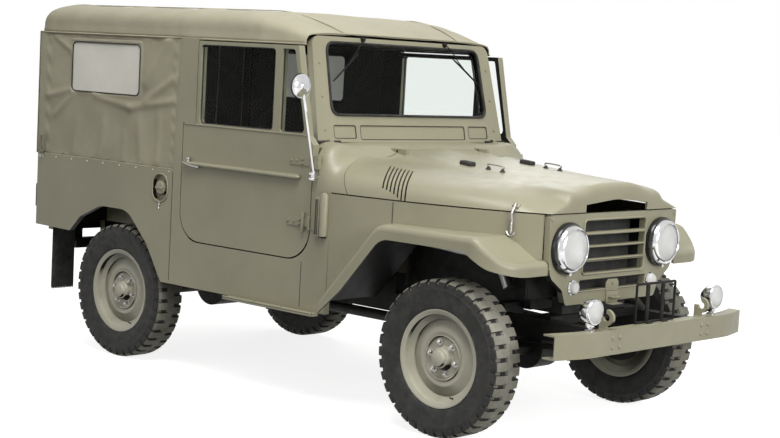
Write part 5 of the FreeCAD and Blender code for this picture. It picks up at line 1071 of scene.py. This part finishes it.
# Lamps
def make_lamps():
    shells, rims, glass, mirrors = Piece(), Piece(), Piece(), Piece()
    for sign, _ in SIDES:
        spot = ahead(2660, 370 * sign, 880)
        shells.lathe([(117, -1), (118, 6), (118, 18), (114, 27), (106, 31), (101, 26), (101, 10), (0, 8)],
                     spot, 64)
        rims.lathe([(108, 22), (108, 34), (103, 46), (97, 53), (91, 56), (88, 53), (87, 47), (90, 40),
                    (96, 30), (100, 22)], spot, 64)
        rims.box((-9, -7, 0), (9, 7, 9), 2, spot @ Matrix.Translation((-113, 0, 24)))
        mirrors.lathe([(88, 44), (70, 28), (46, 16), (20, 11), (0, 10)], spot, 48)
        mirrors.lathe([(9, 11), (9, 24), (5, 32), (0, 34)], spot, 16)
        glass.lathe([(87.5, 45), (86, 49), (70, 54), (45, 58), (20, 59.6), (0, 60)], spot, 64)
        small = ahead(2660, 311 * sign, 700)
        rims.lathe([(36, -1), (36, 6), (33, 10), (29, 11), (28, 8)], small, 32)
        glass.lathe([(29, 8), (28.5, 17), (24, 25), (14, 29.4), (0, 31)], small, 32)
        mirrors.lathe([(28, 9), (15, 4), (0, 3)], small, 24)
        fog = ahead(2845, 492 * sign, 638)
        rims.lathe([(0, 0), (12, 1), (26, 6), (40, 18), (50, 36), (55, 56), (57, 66)], fog, 40)
        rims.lathe([(56, 64), (58, 68), (58, 76), (55, 81), (51, 82), (50, 78)], fog, 40)
        mirrors.lathe([(51, 77), (36, 62), (16, 54), (0, 52)], fog, 32)
        glass.lathe([(51.5, 78), (50, 81), (38, 86), (20, 89), (0, 90)], fog, 40)
        rims.pipe([(2899, 492 * sign, 556), (2899, 492 * sign, 572), (2894, 492 * sign, 590)], 5, 9, 12)
        rims.lathe([(24, 0), (24, 4), (20, 7), (11, 9), (10, 16), (0, 17)],
                   upright(2899, 492 * sign, 554.5), 24)
        rims.box((2880, 492 * sign - 12, 566), (2914, 492 * sign + 12, 588), 3)
    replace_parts(shells.done("headlamp_shells", "lamp_chrome", finish=GLOSS_BLACK), "front_lamps")
    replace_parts(rims.done("lamp_rims", "lamp_chrome"), "fog_lamps")
    mirrors.done("lamp_reflectors", "lamp_chrome", finish=REFLECTOR)
    glass.done("lamp_lenses", "window_glass", finish=LAMP_GLASS)
    boxes, red = Piece(), Piece()
    for sign, _ in SIDES:
        boxes.box((-760, 739 * sign - 27, 742), (-728, 739 * sign + 27, 872), 5)
        red.box((-768, 739 * sign - 21, 750), (-758, 739 * sign + 21, 806), 4)
        red.box((-768, 739 * sign - 21, 812), (-758, 739 * sign + 21, 864), 4)
    boxes.done("rear_lamp_boxes", "chassis_black")
    red.done("rear_lenses", "lamp_chrome", finish=RED_GLASS)


# Front of the car
def make_front():
    lips = Piece()
    lips.tube([(2661, u, v) for u, v in rounded(-246, 246, 754, 1003, 22)], 5.5, 10, closed=True)
    lips.tube([(2661, u, v) for u, v in rounded(-267, 267, 677, 733, 12)], 4.0, 10, closed=True)
    for k in range(1, 4):
        z = 760 + (997 - 760) * k / 4
        lips.tube([(2659, -238, z), (2661, 0, z), (2659, 238, z)], 7.5, 10, flat=0.8)
    lips.done("grille_lips", "body_paint")
    tabs = Piece()
    tabs.plate([(-50, 668), (50, 668), (50, 706), (36, 722), (-36, 722), (-50, 706)], 2661, 2665,
               Matrix(((0, 0, 1, 0), (1, 0, 0, 0), (0, 1, 0, 0), (0, 0, 0, 1))), 1)
    tabs.box((2660, -46, 612), (2668, 46, 664), 2)
    tabs.box((2660, -40, 606), (2700, 40, 612), 2)
    tabs.tube([(2664, -28, 640), (2690, -28, 640), (2700, -20, 640), (2700, 20, 640), (2690, 28, 640),
               (2664, 28, 640)], 5, 8)
    tabs.done("crank_guide", "body_paint")
    bolts = Piece()
    for sign, _ in SIDES:
        for z in (1010, 790):
            bolts.bolt(front_on("front_panel", 488 * sign, z), 6, 4)
        for y, z in ((333, 480), (333, 522), (387, 480), (387, 522)):
            bolts.rivet(front_on("front_bumper", y * sign, z), 11, 5)
    bolts.bolt(ahead(2665, 0, 704), 6, 3)
    bolts.done("front_bolts", "body_paint")
    frame_bars = Piece()
    outline = rounded(-155, 155, 560, 734, 6)
    frame_bars.tube([(2900, u + 5, v) for u, v in outline], 6, 8, closed=True)
    for y in (-60, 62):
        frame_bars.box((2896, y - 13, 556), (2903, y + 13, 734), 1.5)
        frame_bars.box((2890, y - 20, 554.5), (2925, y + 20, 560), 1.5)
    frame_bars.done("plate_frame", "chassis_black")
    baffles = Piece()
    for sign, _ in SIDES:
        baffles.box((2536, 244 * sign, 640), (2540, 476 * sign, 1024), 1)
        baffles.tube([(2532, 478 * sign, z) for z in (642, 830, 1022)], 5, 8)
    baffles.done("radiator_baffles", "chassis_black")


# Hood fittings: rubber rests and wire loops for the folded windscreen, side latches, hinge bolts
def make_hood_fittings():
    rubber_parts, wires, brackets, seams = Piece(), Piece(), Piece(), Piece()
    for sign, _ in SIDES:
        rest = top_on("hood", 1950, 233 * sign)
        rubber_parts.box((-36, -22, -3), (36, 22, 20), 7, rest, 3)
        ends = []
        for x in (2072, 2158):
            foot = top_on("hood", x, 225 * sign)
            rubber_parts.lathe([(14, -2), (14, 3), (9, 7), (7, 14), (0, 15)], foot, 16)
            ends.append(foot @ Vector((0, 0, 10)))
        up = Vector((0, 0, 16))
        wires.pipe([ends[0], ends[0] + up, ends[1] + up, ends[1]], 8, 4.2, 10)
        for x in (1605, 1640):
            for y in (300, 326):
                brackets.rivet(top_on("hood", x, y * sign), 5, 3)
        latch_top = side_on("hood", 2510, 1062, sign)
        brackets.box((-16, -13, -2), (16, 13, 7), 3, latch_top)
        hook = latch_top @ Vector((0, 0, 10))
        foot = side_on("engine_sides", 2507, 938, sign)
        out = foot.to_3x3() @ Vector((0, 0, 1))
        low = foot @ Vector((0, 0, 15))
        middle = side_on("engine_sides", 2508, 1010, sign) @ Vector((0, 0, 16))
        wires.pipe([hook, hook + out * 9, middle + Vector((0, 0, 24)), middle, low], 8, 5.5, 10)
        spring = []
        for k in range(180):
            turn = k * 2 * pi / 15
            axis = middle.lerp(low, 0.08 + 0.8 * k / 180)
            spring.append(axis + Vector((cos(turn) * 9, 0, 0)) + out * 9 * sin(turn) * 0.9)
        wires.tube(spring, 2.1, 6)
        grip = [low + Vector((-24, 0, 8)) - out * 3, low + Vector((-14, 0, -4)), low + Vector((0, 0, -9)),
                low + Vector((14, 0, -4)), low + Vector((24, 0, 8)) - out * 3]
        wires.pipe(grip, 6, [5] * 12 + [6] + [5] * 12, 10)
    rubber_parts.done("hood_rests", "flap_rubber", "hood")
    wires.done("hood_wires", "lamp_chrome", "hood", finish=STEEL)
    brackets.done("hood_brackets", "body_paint", "hood")
    for sign, side in SIDES:
        path = [side_on("engine_sides", 1944, z, sign) @ Vector((0, 0, 0.2)) for z in range(930, 1030, 8)]
        seams.tube(path, 2.2, 6)
        for x, z0, z1 in ((441, 474, 1046), (1408, 472, 690)):
            path = [side_on(f"body_side_{side}", x, z, sign).translation for z in range(z0, z1, 12)]
            seams.tube(path, 1.7, 6)
    seams.done("body_seams", "body_paint", finish=SEAM_DARK)


# Doors: rail with its handle, hinge bolts, glass channels, edge plate
def make_door_fittings():
    for sign, side in SIDES:
        door = f"door_{side}"
        trim, metal, seals = Piece(), Piece(), Piece()

        def out(x, z, far):
            return (x, sign * (780 + far), z)

        rail = [out(532, 1093, 2), out(560, 1093, 11), out(640, 1092, 12), out(1000, 1091, 12),
                out(1300, 1090, 12), out(1360, 1090, 11), out(1366, 1090, 2)]
        trim.tube(even(smooth_path(rail, 6), 70), 13, 14, flat=0.75)
        trim.box(out(560, 1082, 0), out(1364, 1104, 6), 2.5)
        metal.pipe([out(533, 1092, 8), out(548, 1098, 24), out(600, 1086, 26), out(662, 1080, 18)], 8,
                   7.5, 10, flat=0.7)
        metal.lathe([(8, 0), (8, 10), (11, 14), (9, 22), (4, 26), (0, 27)],
                    along((0, 0, 1), out(571, 1100, 12)), 16)
        for x, z in ((1312, 1170), (1350, 1170), (1388, 1179), (1388, 1160), (1309, 879), (1350, 879),
                     (1385, 888), (1385, 869)):
            trim.bolt(side_on(door, x, z, sign, spin=x), 6.5, 4.5)
        trim.box((1407, sign * 784, 830), (1420, sign * 798, 926), 3)
        vent = [(1211, 1300), (1389, 1300), (1297, 1698), (1211, 1698), (1211, 1300)]
        for outline in (rounded(623, 1165, 1300, 1698, 22), [p[:2] for p in even(vent, 60)[:-1]]):
            seals.tube([out(u, v, -16) for u, v in outline], 5, 8, closed=True, flat=0.8)
        trim.tube([out(x, 1292, 1) for x in range(520, 1405, 40)], 3.2, 8)
        trim.box((905, sign * 735, 1010), (1010, sign * 728, 1026), 2)
        metal.pipe([(1120, sign * 738, 1120), (1120, sign * 722, 1120), (1118, sign * 716, 1080),
                    (1112, sign * 716, 1040)], 6, 6, 10)
        metal.lathe([(20, 0), (20, 5), (12, 8), (0, 8)], along((0, -sign, 0), (1120, sign * 740, 1120)), 20)
        trim.done(f"door_trim_{side}", "body_paint", door)
        metal.done(f"door_handles_{side}", "lamp_chrome", door, finish=STEEL)
        seals.done(f"door_seals_{side}", "flap_rubber", door)


# Windscreen: rubber round the glass, wipers, foot clamps
def screen(y, z, far=0.0):
    """A place on the windscreen's front face, standing off it by far."""
    lean = radians(13)
    rise = z - 1260
    return Vector((1408 - rise * tan(lean) + far * cos(lean), y, z + far * sin(lean)))


def make_windscreen():
    rubber_parts, arms, clamps = Piece(), Piece(), Piece()
    corners = four_sides([(-591, 1392), (591, 1392), (576, 1742), (-576, 1742)], (40, 16, 40, 16))
    path = []
    for u, v in corners:
        half = 591 - 15 * (v - 1392) / 350
        cu = min(max(u, -half + 45), half - 45)
        cv = min(max(v, 1392 + 45), 1742 - 45)
        away = Vector((u - cu, v - cv))
        path.append(Vector((cu, cv)) + away.normalized() * 45 if away.length else Vector((u, v)))
    rubber_parts.tube([screen(u, v, 1) for u, v in path], 8.5, 10, closed=True, flat=0.8)
    rubber_parts.tube([screen(u, v, -37) for u, v in path], 7, 8, closed=True)
    for sign, _ in SIDES:
        pivot = screen(313 * sign, 1762, 4)
        arms.lathe([(13, -4), (13, 6), (9, 12), (0, 13)], along((1, 0, 0.23), pivot), 20)
        arm = [pivot + Vector((10, 0, 0)), screen(352 * sign, 1728, 18), screen(395 * sign, 1682, 13),
               screen(462 * sign, 1622, 12)]
        arms.pipe(arm, 6, 3.6, 8, flat=0.7)
        blade = [screen(y * sign, z, far) for y, z, far in ((366, 1689, 8), (462, 1622, 9), (562, 1552, 8))]
        rubber_parts.tube(blade, 4.5, 8, flat=0.6)
        back = [screen(y * sign, z, far) for y, z, far in ((372, 1685, 12), (462, 1622, 15), (556, 1556, 12))]
        arms.tube(back, 3, 8)
        rubber_parts.tube([(1412, 560 * sign, 1262), (1412, 716 * sign, 1262)], 8, 10)
        clamps.box((1402, 610 * sign, 1258), (1424, 640 * sign, 1276), 3)
        for z in (1320, 1480, 1640):
            clamps.bolt(along((1, 0, 0.23), screen(648 * sign - 10 * sign * (z - 1320) / 320, z, 0)), 5, 4)
        for z in (1100, 1130, 1160, 1190, 1220):
            clamps.rivet(side_on("cowl", 1490, z, sign), 5, 3)
    grooves = Piece()
    for u0, u1, v0 in ((-400, 400, 14), (-587, -433, 20), (433, 587, 20)):
        lines = rounded(u0, u1, 1260 + v0 * 0.974, 1260 + 84 * 0.974, 10)
        grooves.tube([screen(u, v, -1.5) for u, v in lines], 2.6, 6, closed=True)
    grooves.done("screen_grooves", "body_paint", finish=SEAM_DARK)
    arms.done("wipers", "chassis_black")
    rubber_parts.done("screen_rubber", "flap_rubber")
    clamps.done("screen_clamps", "body_paint")


# Small things along the body
def make_body_fittings():
    steel, painted, dark, straps, signals = Piece(), Piece(), Piece(), Piece(), Piece()
    cap = along((0, -1, 0), (344, -776, 946), toward=(1, 0, 0))
    painted.lathe([(37, -2), (37, 3), (33, 6), (22, 8), (0, 8.5)], cap, 32)
    painted.box((-30, -5, 6), (30, 5, 15), 3, cap)
    painted.tube([(u, -781, v) for u, v in rounded(284, 404, 873, 1019, 54, 10)], 4, 8, closed=True)
    steel.pipe([(344, -783, 872), (346, -786, 858), (343, -785, 845), (345, -784, 836)], 5, 2.2, 8)
    for sign, side in SIDES:
        loop = ((-700, 783, 1150), (-706, 785, 1100), (-702, 786, 1066), (-684, 787, 1052),
                (-664, 786, 1066), (-660, 785, 1100), (-664, 783, 1150))
        straps.pipe([(x, y * sign, z) for x, y, z in loop], 6, 5.0, 8, flat=0.7)
        steel.lathe([(9, 0), (9, 3), (5, 5), (4, 12), (8, 15), (8, 19), (0, 20)],
                    along((0, sign, 0), (-684, 779 * sign, 1034)), 16)
        for x in (-560, -420, -280, -140, 0, 140, 280, 410):
            steel.rivet(side_on(f"body_side_{side}", x, 1036, sign), 6, 4)
        for x in (930, 1120, 1310, 1500):
            painted.bolt(upright(x, 806 * sign, 456), 5, 3)
        for z, radius in ((455, 4.5), (444, 3.5)):
            painted.tube([(x, 818 * sign, z) for x in range(905, 1531, 25)], radius, 8)
        pod = ((784, 818), (784, 826), (785, 1010), (784, 1024), (781, 1030))
        signals.tube([(1548, y * sign, z) for y, z in pod], [14, 21, 22, 18, 8], 20)
        signals.box((1502, 779 * sign, 820), (1532, 803 * sign, 1012), 4)
        for x0, x1 in ((1508, 1514), (1521, 1525)):
            dark.box((x0, 800 * sign, 832), (x1, 806 * sign, 1000), 1)
    steel.done("curtain_studs", "lamp_chrome", finish=STEEL)
    painted.done("body_fittings", "body_paint")
    straps.done("curtain_straps", "canvas", finish=WEBBING)
    dark.done("signal_slots", "body_paint", finish=SEAM_DARK)
    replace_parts(signals.done("signal_boxes", "body_paint"), "arm_signals")
    gate = Piece()
    for sign, _ in SIDES:
        gate.box((-748, 600 * sign, 985), (-740, 660 * sign, 1010), 2)
        gate.pipe([(-744, 640 * sign, 998), (-757, 640 * sign, 998), (-760, 622 * sign, 985),
                               (-759, 600 * sign, 968)], 6, 6, 8)
        for y in (200, 470):
            gate.tube([(-743, y * sign, 720), (-743, y * sign, 1000)], 11, 10, flat=0.35)
    gate.done("tailgate_fittings", "body_paint", "tailgate")


# Mirror, flaps
def make_mirror_glass():
    glass, rim, clamp = Piece(), Piece(), Piece()
    spot = ahead(1462, -900, 1527, way=-1)
    glass.lathe([(53, 0.5), (40, 1.6), (20, 2.4), (0, 2.6)], spot, 40)
    rim.tube([(1463, -900 + 56.5 * cos(t), 1527 + 56.5 * sin(t))
              for t in [2 * pi * k / 48 for k in range(48)]], 4.5, 10, closed=True)
    back = ahead(1476, -900, 1527)
    clamp.lathe([(56, -2), (50, 4), (36, 9), (18, 12), (12, 15), (12, 20), (0, 21)], back, 40)
    clamp.tube([(1478, -893, 1500), (1480, -880, 1450), (1479, -868, 1410)], 6.5, 10)
    clamp.box((1462, -812, 1088), (1494, -792, 1098), 2.5)
    clamp.box((1462, -812, 1112), (1494, -792, 1122), 2.5)
    glass.done("mirror_glass", "lamp_chrome", finish=REFLECTOR)
    rim.done("mirror_rim", "flap_rubber")
    clamp.done("mirror_back", "lamp_chrome")


def make_flaps():
    for sign, side in SIDES:
        rows = []
        for k in range(15):
            z = 699 - (699 - 300) * k / 14
            rows.append([Vector((-616 - 7 * sin(k / 14 * pi) * sin(j / 56 * pi),
                                 sign * (592 + 152 * j / 56), z)) for j in range(57)])
        rows.append([p + Vector((0, 0, -15 if j % 4 in (1, 2) else -4)) for j, p in enumerate(rows[-1])])
        flap = Piece()
        flap.grid(rows)
        thing = flap.done(f"mud_flap_{side}", "flap_rubber", merge=0.0)
        solid = thing.modifiers.new("thickness", "SOLIDIFY")
        solid.thickness = 0.006
        if sign > 0:
            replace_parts(thing, "mud_flaps")


# Inside: instruments, levers and pedals
def make_inside():
    black, chrome_parts, white = Piece(), Piece(), Piece()
    for y, r in ((-470, 52), (-350, 40), (-250, 40)):
        dial = ahead(1339, y, 1165, way=-1)
        chrome_parts.lathe([(r, 0), (r, 7), (r - 4, 9), (r - 6, 6)], dial, 32)
        black.lathe([(r - 5, 4), (0, 4)], dial, 32)
        for k in range(9):
            angle = radians(-120 + 30 * k)
            tick = dial @ Matrix.Rotation(angle, 4, "Z")
            white.box((r * 0.62, -1.2, 4.2), (r * 0.82, 1.2, 5.0), 0.3, tick, segments=1)
        needle = dial @ Matrix.Rotation(0.7 + y / 200, 4, "Z")
        white.box((-3, -1.0, 5.0), (r * 0.7, 1.0, 6.0), 0.3, needle, segments=1)
    for y in range(-160, 130, 58):
        knob = ahead(1339, y, 1105, way=-1)
        black.lathe([(5, 0), (5, 18), (11, 20), (12, 28), (8, 33), (0, 34)], knob, 20)
    chrome_parts.pipe([(1339, 250, 1200), (1300, 250, 1200), (1292, 300, 1200), (1292, 560, 1200),
                       (1300, 610, 1200), (1339, 610, 1200)], 8, 9, 12)
    black.plate([(230, 1060), (630, 1060), (630, 1160), (230, 1160)], 0, 5,
                Matrix(((0, 0, -1, 1340), (1, 0, 0, 0), (0, 1, 0, 0), (0, 0, 0, 1))), 1)
    for y, x, top in ((-40, 1180, 960), (-95, 1140, 900), (55, 1160, 880)):
        lever = smooth_path([(x + 60, y * 0.6, 676), (x + 30, y * 0.8, 790), (x, y, top)], 8)
        chrome_parts.tube(lever, 7, 10)
        black.lathe([(7, -6), (16, 2), (19, 14), (14, 28), (0, 32)], along((-0.1, 0, 1), (x, y, top)), 20)
        black.lathe([(48, 0), (44, 8), (34, 26), (20, 34), (9, 52)], upright(x + 52, y * 0.62, 679), 24)
    for y in (-540, -430, -300):
        chrome_parts.pipe([(1556, y, 800), (1490, y, 740), (1450, y, 690)], 6, 7, 8)
        pad = along((-0.8, 0, 0.6), (1447, y, 692), toward=(0, 0, 1))
        black.box((-36, -26, -4), (36, 26, 8), 4, pad)
    black.pipe([(1330, -200, 985), (1230, -200, 985), (1215, -200, 960)], 6, 11, 10)
    black.done("inside_black", "wheel_plastic", finish=GLOSS_BLACK)
    chrome_parts.done("inside_metal", "lamp_chrome", finish=STEEL)
    white.done("dial_marks", "body_paint", finish=DIAL_WHITE)


# Engine bay
def make_engine_bay():
    cast, black, steel = Piece(), Piece(), Piece()
    cast.box((1640, -75, 955), (2240, 75, 1012), 18, segments=4)
    for x in range(1700, 2240, 130):
        cast.lathe([(12, 0), (12, 8), (0, 9)], upright(x, 0, 1010), 16)
    black.lathe([(0, 0), (105, 0), (118, 10), (118, 70), (100, 92), (30, 98), (0, 98)],
                upright(1880, 285, 930), 40)
    black.pipe([(1880, 200, 985), (1880, 140, 985), (1900, 110, 960)], 6, 34, 16)
    steel.lathe([(14, 0), (14, 12), (0, 14)], upright(1880, 285, 1026), 16)
    black.pipe([(2300, 0, 930), (2380, 20, 965), (2440, 30, 950), (2512, 30, 940)], 8, 24, 14)
    black.pipe([(2330, -60, 640), (2400, -120, 620), (2450, -130, 610), (2512, -130, 610)], 8, 24, 14)
    steel.lathe([(20, 0), (20, 20), (60, 22), (60, 30), (0, 32)], along((1, 0, 0), (2345, 0, 790)), 24)
    for k in range(6):
        blade = ahead(2385, 0, 790) @ Matrix.Rotation(radians(60 * k), 4, "Z")
        steel.box((20, -28, -3), (195, 28, 1), 1, blade @ Matrix.Rotation(0.45, 4, "X"))
    black.box((1640, 420, 760), (1860, 600, 950), 8)
    for x in (1680, 1820):
        steel.lathe([(11, 0), (10, 16), (0, 17)], upright(x, 510, 949), 16)
    steel.pipe([(1690, -230, 800), (1900, -235, 790), (2150, -230, 760), (2250, -240, 640)], 8, 26, 14)
    black.lathe([(42, 0), (42, 50), (30, 70), (26, 92), (0, 94)], upright(2080, -215, 900), 24)
    for k in range(6):
        way = radians(60 * k)
        lead = [(2080 + 20 * cos(way), -215 + 20 * sin(way), 990),
                (2080 + 30 * cos(way), -190 + 20 * sin(way), 1030),
                (1720 + 90 * k, -120, 1010), (1720 + 90 * k, -92, 960)]
        black.pipe(lead, 8, 3.6, 8)
    cast.done("engine_cast", "cast_metal")
    black.done("engine_black", "chassis_black")
    steel.done("engine_steel", "cast_metal", finish=STEEL)


dress_nodes()
make_camera()
make_world()
make_lights()
make_floor()
make_tyres()
make_hubs()
make_canopy()
make_side_curtains()
make_rear_curtain()
make_seats()
make_lamps()
make_front()
make_hood_fittings()
make_door_fittings()
make_windscreen()
make_body_fittings()
make_mirror_glass()
make_flaps()
make_inside()
make_engine_bay()

bpy.context.scene.view_settings.view_transform = "Standard"
